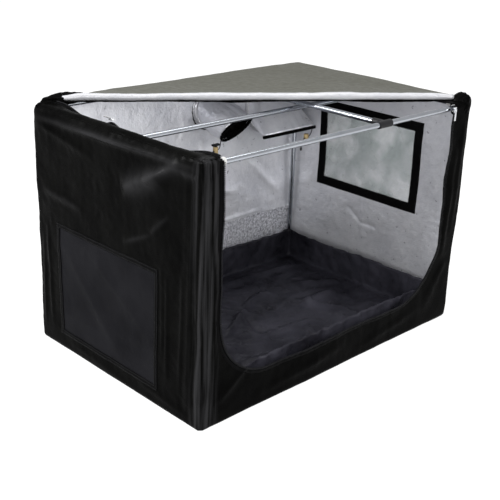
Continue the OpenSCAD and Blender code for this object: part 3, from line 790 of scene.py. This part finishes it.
def edge_to(centre, angle, side):
    """Opening's edge, and the front's outline on the same ray, from an arc's centre."""
    ray = Vector((side * math.cos(angle), 0, -math.sin(angle)))
    to_side = abs(wall_x(side) - centre.x) / max(1e-6, math.cos(angle))
    to_floor = centre.z / max(1e-6, math.sin(angle))
    return centre + ray * CORNER_R, centre + ray * min(to_side, to_floor)


def front_rows(s):
    """Inner and outer ends of the cross row that is s metres along the opening's edge."""
    if s <= MARKS[1]:
        return Vector((OPEN_LEFT, 0, TOP - s)), Vector((LOW[0], 0, TOP - s))
    if s <= MARKS[2]:
        return edge_to(ROUND_LEFT, (s - MARKS[1]) / CORNER_R, -1)
    if s <= MARKS[3]:
        x = ROUND_LEFT.x + s - MARKS[2]
        return Vector((x, 0, SILL)), Vector((x, 0, 0))
    if s <= MARKS[4]:
        return edge_to(ROUND_RIGHT, math.pi / 2 - (s - MARKS[3]) / CORNER_R, 1)
    return Vector((OPEN_RIGHT, 0, s - MARKS[5] + TOP)), Vector((HIGH[0], 0, s - MARKS[5] + TOP))


def loose_edge(p, share):
    """How the cloth near the opening leans in and waves, most at the edge itself."""
    free = (1 - share) ** 1.5
    right = smooth(0.0, 0.30, p.x) * smooth(0.10, 0.22, p.z) * smooth(0.60, 0.50, p.z)
    left = smooth(0.0, -0.30, p.x) * smooth(0.12, 0.25, p.z) * smooth(0.60, 0.45, p.z)
    wave = math.sin(p.z * 21) + 0.6 * math.sin(p.z * 47 + 1)
    sill = smooth(0.30, 0.05, abs(p.x)) * smooth(0.14, 0.05, p.z)
    across = right * (-0.003 - 0.0016 * wave) + left * 0.0015 * wave
    inward = right * (0.002 + 0.002 * wave) + left * 0.003 * wave + sill * 0.003 * math.sin(p.x * 23)
    return Vector((across * free, inward * free, sill * free * 0.004 * math.sin(p.x * 17 + 1)))


def on_front(s, t, depth=0.0):
    """Place on the front cloth: s along the opening's edge, t from 0 at the edge to 1 outside."""
    inner, outer = front_rows(s)
    flat = inner.lerp(outer, t)
    flat.y = LOW[1]
    return on_tent(flat, depth) + loose_edge(flat, max(0.0, t))


# shares of a cross row, closer together at the opening and at the tubes
t_rows = [0, 0.04, 0.09, 0.15, 0.22, 0.3, 0.38, 0.46, 0.54, 0.62, 0.7, 0.77, 0.83, 0.88, 0.92,
          0.95, 0.975, 1]
corner_left = MARKS[1] + CORNER_R * math.atan2(ROUND_LEFT.z, ROUND_LEFT.x - LOW[0])
corner_right = MARKS[4] - CORNER_R * math.atan2(ROUND_RIGHT.z, HIGH[0] - ROUND_RIGHT.x)
front_cloth = black_panel(
    "front_cloth",
    panel_mesh(
        rows(*MARKS[:2], corner_left, *MARKS[2:4], corner_right, *MARKS[4:], step=EDGE_STEP), t_rows,
        on_front, one_way(0, -1, 0), uv_scale=(1, 0.08),
    ),
    ["front_left_strip", "front_sill", "front_right_strip"],
)


def toothed_edge(name, path, across, out, node, tape_w=0.012, pitch=0.0036):
    """Half a zip: a woven tape along an edge, and a row of small coil teeth on it."""
    bm = panel_mesh(list(range(len(path))), [0, 0.5, 1],
                    lambda k, t: path[k] + across[k] * tape_w * (t - 0.75) + out[k] * 0.0006,
                    lambda at: out[len(out) // 2], uv_scale=(0.005, tape_w))
    finish_piece(name + "_tape", bm, "tent", [TAPE], (), 0.0008)
    bm = bmesh.new()
    gone, last = 0.0, path[0]
    for k in range(1, len(path)):
        gone += (path[k] - last).length
        last = path[k]
        if gone < pitch:
            continue
        gone = 0.0
        ahead = (path[k] - path[k - 1]).normalized()
        sideways = across[k].normalized()
        turned = Matrix((ahead, sideways, ahead.cross(sideways))).transposed().to_4x4()
        bmesh.ops.create_cube(bm, size=1, matrix=Matrix.Translation(
            path[k] + out[k] * 0.0018 + sideways * 0.0022
        ) @ turned @ Matrix.Diagonal((pitch * 0.52, 0.0044, 0.0020, 1)))
    bmesh.ops.recalc_face_normals(bm, faces=bm.faces)
    finish_piece(name + "_teeth", bm, "tent", [ZIP_TEETH], [node])


ZIP_STEP = 0.0019
front_s = rows(0.006, *MARKS[1:5], MARKS[5] - 0.006, step=ZIP_STEP)
front_path = [on_front(s, 0) for s in front_s]
toothed_edge(
    "front_zip", front_path,
    [(on_front(s, 0) - on_front(s, 0.05)).normalized() for s in front_s],
    [Vector((0, -1, 0))] * len(front_s), "front_zip",
)
print("front cloth done, opening edge, m:", round(MARKS[5], 3))

# %% [markdown]
# ## The roof
# Only a strip along the left edge and the back-right half of the roof are fixed. The rest is the
# door flap, a single sheet that is thrown back in three layers along the diagonal. Where it turns
# back, the lining faces out, so the fold is a round edge of lining in a copy painted darker as
# painted shade, and the upper face is the back of the lining, painted a dull olive-grey that is a
# painted reflection of the bright room.

# %% Roof strip, fixed roof, and the folded flap
def strip_sag(x, y):
    """How far the loose edge of the roof strip hangs down between the tubes."""
    ends = smooth(LOW[1] + 0.025, LOW[1] + 0.14, y) * smooth(HIGH[1] - 0.06, HIGH[1] - 0.16, y)
    slider = 1 - 0.6 * math.exp(-((y - SLIDER_Y) / 0.024) ** 2)
    return STRIP_SAG * ends * slider * smooth(LOW[0] + 0.022, ROOF_STRIP_X, x)


SLIDER_LOW, SLIDER_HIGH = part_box("zip_slider_roof")
SLIDER_Y = (SLIDER_LOW.y + SLIDER_HIGH.y) / 2


def on_roof(x, y):
    """Place on the roof's cloth, kept under the flap that lies on it."""
    place = on_tent(Vector((x, y, TOP)))
    place.z = min(place.z, TOP + 0.0004)
    return place


def on_strip(x, y):
    """Place on the roof strip, which sags at its loose edge."""
    return on_roof(x, y) - UP * strip_sag(x, y)


roof_strip = black_panel(
    "roof_left_strip_cloth",
    panel_mesh(
        rows(LOW[0], ROOF_STRIP_X, step=0.0035), rows(LOW[1], HIGH[1]), on_strip, one_way(0, 0, 1)
    ),
    ["roof_left_strip"],
)
ROOF_ZIP_LOW, ROOF_ZIP_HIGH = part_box("roof_zip")
roof_y = rows(ROOF_ZIP_LOW.y, ROOF_ZIP_HIGH.y, step=ZIP_STEP)
toothed_edge(
    "roof_zip", [on_strip(ROOF_STRIP_X, y) for y in roof_y],
    [Vector((1, 0, 0))] * len(roof_y), [UP] * len(roof_y), "roof_zip",
)
PATCH_X = OPEN_RIGHT


def fixed_roof(x, t):
    """Place on the fixed roof: t from 0 at the diagonal fold to 1 at the back tube."""
    fold = -x * HIGH[1] / HIGH[0]
    start = fold + (LOW[1] - fold) * smooth(PATCH_X - 0.006, PATCH_X + 0.006, x)
    return on_roof(x, start + (HIGH[1] - start) * t)


fixed_roof_cloth = black_panel(
    "roof_panel_cloth",
    panel_mesh(
        rows(ROOF_STRIP_X, PATCH_X - 0.01, PATCH_X + 0.01, HIGH[0], step=0.008),
        [k / 60 for k in range(61)], fixed_roof, one_way(0, 0, 1), uv_scale=(1, 0.4),
    ),
    ["roof_panel"],
)

FLAP_LOW, FLAP_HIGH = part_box("door_flap")
FOLD_WAY = Vector((HIGH[0], LOW[1], 0)).normalized()
FOLD_BACK = Vector((-FOLD_WAY.y, FOLD_WAY.x, 0))
ROLL = 0.0080
# the fold stands back from the diagonal, so that the flap clears the fixed roof when it turns over
STAND_BACK = FOLD_BACK * (ROLL + 0.002)
FOLD_START = Vector((LOW[0], HIGH[1], 0)) + FOLD_WAY * 0.062 + STAND_BACK
FOLD_END = Vector((HIGH[0], LOW[1], 0)) - FOLD_WAY * 0.050 + STAND_BACK
FLAP_BACK_LEFT = Vector((FLAP_LOW.x + 0.12, FLAP_HIGH.y, 0))
FLAP_BACK_RIGHT = Vector((FLAP_HIGH.x, FLAP_HIGH.y, 0))
FLAP_FRONT_RIGHT = Vector((FLAP_HIGH.x, FOLD_END.y + 0.02, 0))
BEND_SHARE = 0.605


def flap_far(u):
    """Far edge of the flap for a place along the fold."""
    if u < BEND_SHARE:
        return FLAP_BACK_LEFT.lerp(FLAP_BACK_RIGHT, u / BEND_SHARE)
    return FLAP_BACK_RIGHT.lerp(FLAP_FRONT_RIGHT, (u - BEND_SHARE) / (1 - BEND_SHARE))


LOWER_STEPS, ROLL_STEPS, UPPER_STEPS, BACK_STEPS = 40, 17, 59, 9


def flap_profile():
    """Shares across the flap, with heights, of a path through its three layers."""
    path = [(1 - k / LOWER_STEPS, -ROLL, 0) for k in range(LOWER_STEPS)]
    for a in np.linspace(0, math.pi, ROLL_STEPS):
        path.append((0, -ROLL * math.cos(a), -ROLL * math.sin(a)))
    path += [(k / (UPPER_STEPS + 1), ROLL, 0) for k in range(1, UPPER_STEPS + 1)]
    for a in np.linspace(0, math.pi, BACK_STEPS):
        path.append((1, ROLL / 2 * (1 + math.cos(a)), ROLL / 2 * math.sin(a)))
    path += [(1 - k / 30, 0, 0) for k in range(1, 28)]
    return path


FLAP_PATH = flap_profile()
flap_along = [k / 150 for k in range(151)]


def on_flap(u, k):
    """Place on the flap: u along the fold, k the step of the path through the layers."""
    share, height, push = FLAP_PATH[k]
    near, far = FOLD_START.lerp(FOLD_END, u), flap_far(u)
    flat = near.lerp(far, share)
    push *= 0.5 + 0.5 * smooth(0, 0.05, u)
    flat += FOLD_BACK * push if share < 0.5 else (far - near).normalized() * push
    full = (0.6 + 0.4 * smooth(0, 0.06, u)) * (0.8 + 0.2 * smooth(1, 0.94, u))
    full *= 1 - 0.85 * share ** 0.8
    rise = 0.0022 * noise.noise(flat * 6 + Vector((2, 5, 1)))
    rise += 0.0009 * folds(flat, FOLD_BACK, 0.3, 0.03, 6)
    roll = 1 + 0.16 * noise.noise(Vector((u * 15, 3, 1))) + 0.07 * noise.noise(Vector((u * 60, 3, 1)))
    top_sag = -0.002 * math.sin(math.pi * share) * (height > ROLL / 2)
    flat.z = FLAP_LOW.z - 0.0004 + (ROLL + height * (roll if share < 0.04 else 1)) * full
    flat.z += (max(rise, -0.001) if height > 0 else 0) + top_sag
    flat += FOLD_BACK * (0.003 * noise.noise(Vector((u * 9, 1, 4)))) * (1 - share)
    return flat


def flap_painted_reflection_finish():
    """Upper face of the lining, for the sheet that lies on the roof: its dull olive-grey colour is a painted
    reflection of the bright room.
    """
    finish = Finish("flap_lining_painted_reflection", Metallic=0.35, Specular_IOR_Level=0.25)
    where = finish.place()
    broad = finish.grain(where, 5, 4)
    fine = finish.grain(where, 70, 4, 0.6)
    colour = finish.mix(broad, (0.047, 0.047, 0.036, 1), (0.062, 0.062, 0.050, 1))
    rough = finish.between(fine, 0.3, 0.7, 0.42, 0.58)
    return finish.surface(colour, rough, finish.bump(broad + fine * 0.15, 0.5, 0.004))


FLAP_LINING_PAINTED_REFLECTION = flap_painted_reflection_finish()
UV_STEP = 0.01
bm = panel_mesh(
    flap_along, list(range(len(FLAP_PATH))), on_flap, one_way(0, 0, 1), uv_scale=(1, UV_STEP)
)
layer = bm.loops.layers.uv["cloth"]
ROLL_END = LOWER_STEPS + ROLL_STEPS
BACK_END = ROLL_END + UPPER_STEPS + BACK_STEPS
# the roll gets the fold lining painted darker as painted shade, and the upper layer the flap lining whose
# olive-grey is a painted reflection
for face in bm.faces:
    k = sum(loop[layer].uv.y for loop in face.loops) / 4 / UV_STEP
    face.material_index = 2 if k < LOWER_STEPS or k > BACK_END else int(k > ROLL_END)
flap = finish_piece("door_flap_cloth", bm, "door_flap",
                    [FOLD_LINING_PAINTED_SHADE, FLAP_LINING_PAINTED_REFLECTION, BLACK_CLOTH], ["door_flap"])
flap_wall = flap.modifiers.new("thickness", "SOLIDIFY")
flap_wall.thickness, flap_wall.offset = 0.0009, 0
print("flap layers done, faces:", len(flap.data.polygons))

# %% [markdown]
# ## Bunched corners
# At both ends of the fold the cloth has nowhere to go, so it bunches into a crumpled knob. A sphere
# stretched to the bunch's size and pushed in and out by ridged noise gives such a knob, with a
# pointed tip where the back-left corner sticks out.


# %% The two bunches
def bunch(name, centre, half, tip, replaced, amount, seed):
    """A crumpled knob of half sizes round a centre, with a tip that points away from it."""
    bm = bmesh.new()
    bmesh.ops.create_icosphere(bm, subdivisions=5, radius=1)
    for vert in bm.verts:
        p = vert.co.copy()
        push = 1 + amount * (1 - 2.4 * abs(noise.noise(p * 1.9 + Vector((seed, 0, 0)))))
        push += amount * 0.5 * noise.noise(p * 5 + Vector((seed, 3, 0)))
        point = Vector([c * h for c, h in zip(p * push, half)])
        reach = max(0.0, p.dot(Vector(tip).normalized())) ** 6
        vert.co = Vector(centre) + point + Vector(tip) * reach
    obj = finish_piece(name, bm, "tent", [BLACK_CLOTH], replaced)
    return obj


GATHER_LOW, GATHER_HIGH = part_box("corner_gather")
GATHER_MID = (GATHER_LOW + GATHER_HIGH) / 2
bunch("corner_gather_cloth", GATHER_MID + Vector((0.050, -0.010, -0.006)), (0.056, 0.013, 0.014),
      (-0.014, 0.002, -0.006), ["corner_gather"], 0.14, 3.0)
bunch("front_corner_bunch", Vector((HIGH[0] - 0.021, LOW[1] + 0.021, TOP - 0.014)),
      (0.024, 0.024, 0.032), (0.002, -0.002, 0.002), [], 0.07, 8.0)
print("bunches done")

# %% [markdown]
# ## Vent and window
# The vent is netting under a woven tape, and a silver cover hangs behind it inside the tent. The
# window is clear film behind a wide tape, with its cover on the outside. All of them are panels that
# follow their wall, each at its own depth. A row of stitches runs along both edges of a tape.

# %% Netting, tapes, pane and covers
TAPE_T = 0.0008
STITCH = 0.0038
STITCH_PROUD = 0.0002
# a cover starts this far under its hinge's line, so that it can swing up past the wall
COVER_TRIM = 0.005


def wall_piece(name, side, y_marks, z_marks, depth, thick, finishes, node, hole=None,
               body="tent", step=0.006, sag=None):
    """A panel that follows the left or right wall at a depth under its outer face."""

    def put(y, z):
        place = on_tent(Vector((wall_x(side), y, z)), depth)
        return place + sag(y, z) if sag else place

    bm = panel_mesh(
        rows(*y_marks, step=step), rows(*z_marks, step=step), put, one_way(side, 0, 0), hole
    )
    return finish_piece(name, bm, body, finishes, [node], thick)


def stitches(name, side, low, high, depth, inset):
    """A row of stitches round a rectangle on a wall, a little proud of its tape."""
    bm = bmesh.new()
    y0, z0, y1, z1 = low[0] - inset, low[1] - inset, high[0] + inset, high[1] + inset
    corners = [(y0, z0), (y1, z0), (y1, z1), (y0, z1)]
    for a, b in zip(corners, corners[1:] + corners[:1]):
        length = math.dist(a, b)
        along = Vector((0, b[0] - a[0], b[1] - a[1])).normalized()
        out = Vector((1, 0, 0))
        turned = Matrix((along, out.cross(along), out)).transposed().to_4x4()
        turned = turned @ Matrix.Diagonal((STITCH * 0.62, 0.0007, 0.0006, 1))
        for k in range(int(length / STITCH)):
            t = (k + 0.5) * STITCH / length
            y, z = a[0] + (b[0] - a[0]) * t, a[1] + (b[1] - a[1]) * t
            at = on_tent(Vector((wall_x(side), y, z)), depth)
            bmesh.ops.create_cube(bm, size=1, matrix=Matrix.Translation(at) @ turned)
    bmesh.ops.recalc_face_normals(bm, faces=bm.faces)
    return finish_piece(name, bm, "tent", [THREAD])


THREAD = plastic_finish("stitch_thread", (0.009, 0.009, 0.010), 0.6, shine=0.1)
VENT_TAPE_LOW, VENT_TAPE_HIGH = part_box("vent_tape")
vent_y = (VENT_TAPE_LOW.y, VENT_LOW.y, VENT_HIGH.y, VENT_TAPE_HIGH.y)
vent_z = (VENT_TAPE_LOW.z, VENT_LOW.z, VENT_HIGH.z, VENT_TAPE_HIGH.z)
netting = wall_piece(
    "vent_netting", -1, (VENT_LOW.y - 0.002, VENT_HIGH.y + 0.002),
    (VENT_LOW.z - 0.002, VENT_HIGH.z + 0.002), 0.0003, 0.0004, [NETTING], "vent_mesh",
)
wall_piece(
    "vent_tape_cloth", -1, vent_y, vent_z, -TAPE_T, TAPE_T, [TAPE], "vent_tape",
    inside(VENT_LOW.yz, VENT_HIGH.yz), step=EDGE_STEP,
)
for edge, inset in (("outer", 0.0095), ("inner", 0.0025)):
    stitches("vent_stitches_" + edge, -1, VENT_LOW.yz, VENT_HIGH.yz, -TAPE_T - STITCH_PROUD, inset)
COVER_LOW, COVER_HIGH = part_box("vent_cover")
vent_cover = wall_piece(
    "vent_cover_cloth", -1, (COVER_LOW.y, COVER_HIGH.y), (COVER_LOW.z, COVER_HIGH.z - COVER_TRIM),
    CLOTH + 0.0009, CLOTH, [BLACK_CLOTH, LINING], "vent_cover", body="vent_cover",
    sag=lambda y, z: Vector((0.004 * smooth(0.34, 0.12, z) * (1 + math.sin(y * 19)), 0, 0)),
)

PANE_TAPE_LOW, PANE_TAPE_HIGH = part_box("window_tape")
pane = wall_piece(
    "window_film", 1, (PANE_LOW.y - 0.003, PANE_HIGH.y + 0.003),
    (PANE_LOW.z - 0.003, PANE_HIGH.z + 0.003), 0.0006, 0.0005, [CLEAR], "window_pane",
)
wall_piece(
    "window_tape_cloth", 1, (PANE_TAPE_LOW.y, PANE_LOW.y, PANE_HIGH.y, PANE_TAPE_HIGH.y),
    (PANE_TAPE_LOW.z, PANE_LOW.z, PANE_HIGH.z, PANE_TAPE_HIGH.z), CLOTH + 0.0002, 0.0009, [TAPE],
    "window_tape", inside(PANE_LOW.yz, PANE_HIGH.yz), step=EDGE_STEP,
)
for edge, inset in (("outer", 0.0235), ("inner", 0.0025)):
    stitches("window_stitches_" + edge, 1, PANE_LOW.yz, PANE_HIGH.yz, CLOTH + 0.0013, inset)
OUT_LOW, OUT_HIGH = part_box("window_cover")
window_cover = wall_piece(
    "window_cover_cloth", 1, (OUT_LOW.y, OUT_HIGH.y), (OUT_LOW.z, OUT_HIGH.z - COVER_TRIM),
    -CLOTH - 0.0011, CLOTH, [BLACK_CLOTH, LINING], "window_cover", body="window_cover",
    sag=lambda y, z: Vector((0.003 * smooth(0.5, 0.26, z) * (1 + math.sin(y * 16)), 0, 0)),
)


def hook_strips(name, node, side, depth):
    """Flat strips of hook tape that follow the wall, one at each end of a node's box."""
    low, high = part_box(node)
    width = 0.014
    bm = panel_mesh(
        rows(low.y, low.y + width, high.y - width, high.y, step=0.007), rows(low.z, high.z, step=0.007),
        lambda y, z: on_tent(Vector((wall_x(side), y, z)), depth),
        one_way(side if depth < 0 else -side, 0, 0),
        lambda y, z: low.y + width < y < high.y - width,
    )
    return finish_piece(name, bm, "tent", [HOOK], [node], 0.0004)


hook_strips("window_hook_strips", "window_hook_tapes", 1, -0.0004)
hook_strips("vent_hook_strips", "vent_hook_tapes", -1, CLOTH + 0.0004)
print("vent and window done")

# %% [markdown]
# ## Duct socks
# A sock is a sleeve that a duct pushes into. It starts at a collar in the back wall and ends in a
# hem with the drawcord. It is lofted from a circle at the wall to a tilted mouth: the same angle
# round both rings gives the two ends of a straight line, and the cloth between them sags and
# ripples. The sleeve is silver outside and black inside.


# %% Collars, socks and hems
ROUND_STEPS = 96
PLEATS = 26
ANGLES = [2 * math.pi * k / ROUND_STEPS for k in range(ROUND_STEPS + 1)]


def mouth_point(mouth, half, tilt, angle, grow=0.0, ahead=0.0):
    """Point on a sock's mouth at an angle, grown outwards and moved ahead along its axis."""
    middle, (a, b) = Vector(mouth), half
    down, turn = tilt
    turned = Matrix.Rotation(turn, 3, "Z")
    along = turned @ Vector((0, -math.cos(down), -math.sin(down)))
    up = turned @ Vector((0, -math.sin(down), math.cos(down)))
    across = turned @ Vector((1, 0, 0))
    return (
        middle + across * (a + grow) * math.cos(angle) + up * (b + grow) * math.sin(angle)
        + along * ahead
    )


def sock(name, port, mouth, half, tilt, nodes, seed):
    """A sleeve from a port to a tilted mouth, with its hem and the collar at the wall."""
    cx, cz, outer = port
    wall_y = float(HIGH[1]) - 0.009
    radius = outer - 0.0065
    centre = Vector(((cx + mouth[0]) / 2, (wall_y + mouth[1]) / 2, (cz + mouth[2]) / 2))
    reach = (Vector(mouth) - Vector((cx, wall_y, cz))).length

    def put(angle, t):
        start = Vector((cx + radius * math.cos(angle), wall_y, cz + radius * math.sin(angle)))
        end = mouth_point(mouth, half, tilt, angle)
        place = start.lerp(end, t)
        away = (place - Vector((cx, wall_y, cz)).lerp(Vector(mouth), t)).normalized()
        wrap = Vector((math.cos(angle) * 3, math.sin(angle) * 3, seed))
        ripple = 0.0035 * t * noise.noise(wrap * 1.6 + Vector((0, 0, t * 1.5)))
        pucker = 0.0012 * smooth(0.7, 1.0, t) * math.sin(angle * PLEATS)
        crinkle = 0.0016 * (1 - 2 * abs(noise.noise(place * 60 + Vector((seed, 0, 0)))))
        sag = Vector((0, 0, -0.006 * math.sin(math.pi * t) * max(0.0, -math.sin(angle))))
        return place + away * (ripple + pucker + crinkle * math.sin(math.pi * t)) + sag

    body = finish_piece(
        name + "_sleeve",
        panel_mesh(ANGLES, [k / 26 for k in range(27)], put, out_of(centre), weld=True,
                   uv_scale=(radius, reach)),
        "tent", [SOCK_LINING_PAINTED_LIGHT, BLACK_CLOTH], [nodes[0]], 0.001, rim=1,
    )
    hem_path = [(0.0, 0.0), (0.0016, 0.0008), (0.0022, 0.004), (0.0016, 0.008), (0.0, 0.0092),
                (-0.0008, 0.0084), (-0.0006, 0.004), (-0.0008, 0.0008), (0.0, 0.0)]

    def put_hem(angle, k):
        grow, ahead = hem_path[k]
        pucker = 0.0011 * math.sin(angle * PLEATS) + 0.0006 * math.sin(angle * 41)
        return mouth_point(mouth, half, tilt, angle, grow + pucker, ahead)

    hem = finish_piece(
        name + "_hem",
        panel_mesh(ANGLES, list(range(len(hem_path))), put_hem, out_of(mouth), weld=True,
                   uv_scale=(radius, 0.002)),
        "tent", [TAPE], [nodes[1]],
    )
    flange = [(radius + 0.001, -0.001), (radius + 0.0004, 0.0102), (radius + 0.004, 0.0112),
              (radius + 0.010, 0.0104), (radius + 0.011, 0.0092), (radius + 0.008, 0.0078),
              (radius + 0.006, 0.004), (radius + 0.005, 0.0), (radius + 0.001, -0.001)]

    def put_collar(angle, k):
        r, y = flange[k]
        r += 0.0005 * math.sin(angle * 34)
        return Vector((cx + r * math.cos(angle), wall_y + y, cz + r * math.sin(angle)))

    ring = panel_mesh(ANGLES, list(range(len(flange))), put_collar,
                      lambda at: Vector((at.x - cx, 0, at.z - cz)) if at.y > wall_y else Vector(),
                      weld=True, uv_scale=(radius, 0.004))
    for face in ring.faces:
        face.material_index = int(face.calc_center_median().y < wall_y + 0.0076)
    finish_piece(name + "_collar", ring, "tent", [TAPE, LINING], [nodes[2]])
    return body


sock("small_duct_sock", SMALL_PORT, (0.106, 0.200, 0.479), (0.050, 0.050),
     (math.radians(40), math.radians(11)),
     ("duct_sock_small", "sock_hem_small", "port_collar_small"), 5.0)
sock("large_duct_sock", LARGE_PORT, (0.315, 0.195, 0.438), (0.100, 0.032), (math.radians(70), 0),
     ("duct_sock_large", "sock_hem_large", "port_collar_large"), 11.0)
print("socks done")

# %% [markdown]
# ## Spill tray
# The tray is one sheet folded up at its edges, like a shallow open box of crinkled coated cloth. Its
# grid is unfolded: past the edge of the floor, the extra length goes up the wall. The four corner
# squares are left out and their edges welded. Its walls slump inwards between the corners, and
# the floor keeps the creases it was folded along.

# %% The tray
TRAY_LOW, TRAY_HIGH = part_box("spill_tray")
TRAY_RISE = TRAY_HIGH.z - TRAY_LOW.z
TRAY_TURN = 0.018
# ends of a crease on the floor, its half width and its height
TRAY_CREASES = [
    ((-0.02, 0.20), (0.06, 0.03), 0.010, -0.0060), ((0.04, 0.078), (0.17, 0.105), 0.009, 0.0070),
    ((-0.12, -0.03), (0.05, 0.075), 0.010, 0.0060), ((0.02, 0.07), (-0.03, -0.06), 0.009, -0.0050),
    ((0.15, -0.02), (0.33, 0.00), 0.009, 0.0060), ((0.18, 0.02), (0.26, -0.12), 0.010, 0.0050),
    ((-0.06, -0.08), (0.14, -0.10), 0.010, 0.0056), ((0.05, -0.16), (0.24, -0.19), 0.010, 0.0060),
    ((-0.20, -0.14), (-0.02, -0.19), 0.010, 0.0056), ((0.26, 0.10), (0.39, 0.03), 0.011, 0.0050),
    ((-0.30, 0.05), (-0.12, 0.12), 0.010, 0.0050), ((0.10, 0.22), (0.36, 0.20), 0.009, 0.0044),
    ((-0.10, 0.215), (0.08, 0.232), 0.009, 0.0040), ((0.30, -0.10), (0.38, -0.20), 0.010, 0.0050),
    ((-0.36, -0.05), (-0.22, -0.12), 0.010, 0.0050), ((0.00, -0.22), (0.10, -0.12), 0.008, 0.0040),
]
TRAY_LINES = [(Vector((*a, 0)), Vector((*b, 0)), w, h) for a, b, w, h in TRAY_CREASES]


def on_tray(u, v):
    """Place on the tray: u and v are places on the unfolded sheet."""
    x = min(max(u, TRAY_LOW.x), TRAY_HIGH.x)
    y = min(max(v, TRAY_LOW.y), TRAY_HIGH.y)
    up = max(abs(u) - TRAY_HIGH.x, abs(v) - TRAY_HIGH.y, 0)
    p = Vector((x, y, TRAY_LOW.z + up))
    r = TRAY_TURN
    core = Vector((
        min(max(x, TRAY_LOW.x + r), TRAY_HIGH.x - r), min(max(y, TRAY_LOW.y + r), TRAY_HIGH.y - r),
        max(p.z, TRAY_LOW.z + r),
    ))
    out = (p - core).normalized()
    share = up / TRAY_RISE
    middle = smooth(1.0, 0.75, max(abs(x) / TRAY_HIGH.x if up and abs(y) > abs(x) * 0.6 else 0,
                                   abs(y) / TRAY_HIGH.y if up and abs(x) > 0.42 else 0))
    slump = share * (0.007 + 0.008 * noise.noise(p * 5 + Vector((1, 2, 3)))) * middle
    crinkle = 0.0026 * (1 - 2 * abs(noise.noise(p * 24))) + 0.0012 * noise.noise(p * 60)
    long_folds = 0.0040 * folds(p, Vector((0.9, 0.35, 0.2)).normalized(), 0.2, 0.045, 7.0)
    if up:
        sink = slump + (crinkle * 1.5 + 0.005 * folds(p, SLANT, 0.1, 0.02, 3.0) * share) + 0.003
        drop = Vector((0, 0, share * (0.008 - 0.005 * noise.noise(Vector((x * 6, y * 6, 2))))))
        return core + out * (r - max(0.0004, sink)) + drop
    drawn = 2.2 * sum(crease(Vector((x, y, 0)), *line) for line in TRAY_LINES)
    edge = smooth(0.0, 0.03, min(TRAY_HIGH.x - abs(x), TRAY_HIGH.y - abs(y)))
    lift = max(0.0004, 0.0060 + (long_folds + crinkle + drawn) * edge)
    return core + out * (r - lift) if edge < 1 else p + UP * lift


tray_u = rows(TRAY_LOW.x - TRAY_RISE, TRAY_LOW.x, TRAY_HIGH.x, TRAY_HIGH.x + TRAY_RISE, step=0.0065)
tray_v = rows(TRAY_LOW.y - TRAY_RISE, TRAY_LOW.y, TRAY_HIGH.y, TRAY_HIGH.y + TRAY_RISE, step=0.0065)
tray = finish_piece(
    "spill_tray_cloth",
    panel_mesh(tray_u, tray_v, on_tray, lambda at: Vector((0, 0, -1)) if at.z < 0.02 else Vector(),
               lambda u, v: abs(u) > TRAY_HIGH.x and abs(v) > TRAY_HIGH.y, weld=True),
    "spill_tray", [TRAY_CLOTH], ["spill_tray"], CLOTH,
)
print("tray done, faces:", len(tray.data.polygons))

# %% [markdown]
# ## The room and the light
# A pale floor, a white world and four soft lamps stand in for a studio. Black cloth shows its shape
# only where it mirrors something bright, so one lamp stands high behind the tent's left side and
# rakes across its creases, and a tall narrow one beside the camera draws the upright folds. The
# floor glows by itself and mirrors little, so that no lamp shines up from it onto the cloth, and the
# world is dim enough that black stays black.

# %% Floor, world and lamps
floor_mesh = bpy.data.meshes.new("floor")
bm = bmesh.new()
bmesh.ops.create_grid(bm, x_segments=1, y_segments=1, size=30)
bmesh.ops.translate(bm, verts=bm.verts, vec=(0, 0, -0.0002))
bm.to_mesh(floor_mesh)
bm.free()
floor = bpy.data.objects.new("floor", floor_mesh)
bpy.context.scene.collection.objects.link(floor)
PAPER = Finish("pale_floor", Specular_IOR_Level=0.1)
PAPER.set("Base Color", (0.16, 0.16, 0.16, 1))
PAPER.set("Roughness", 0.9)
PAPER.set("Emission Color", (1, 1, 1, 1))
PAPER.set("Emission Strength", 0.92)
floor_mesh.materials.append(PAPER.material)

world = bpy.data.worlds.new("studio")
world.use_nodes = True
sky = world.node_tree.nodes["Background"]
sky.inputs["Color"].default_value = (1, 1, 1, 1)
sky.inputs["Strength"].default_value = 0.66
bpy.context.scene.world = world
bpy.context.scene.view_settings.view_transform = "Standard"


def lamp(name, place, target, size, power):
    """A soft rectangular lamp at a place, aimed at a target, with a power in watts."""
    data = bpy.data.lights.new(name, "AREA")
    data.shape = "RECTANGLE"
    data.size, data.size_y = size
    data.energy = power
    obj = bpy.data.objects.new(name, data)
    turned = (Vector(target) - Vector(place)).to_track_quat("-Z", "Y").to_matrix().to_4x4()
    obj.matrix_world = Matrix.Translation(Vector(place)) @ turned
    bpy.context.scene.collection.objects.link(obj)


lamp("overhead", (0.2, -0.3, 3.0), (0, 0, 0.3), (3.0, 2.4), 80)
lamp("front", (0.6, -3.2, 1.9), (0, 0, 0.3), (1.4, 1.2), 60)
lamp("left_rake", (-2.3, 1.5, 2.2), (-0.45, -0.1, 0.5), (0.6, 1.2), 170)
lamp("camera_side", (-2.3, -1.75, 1.0), (-0.45, -0.3, 0.3), (0.5, 1.8), 62)
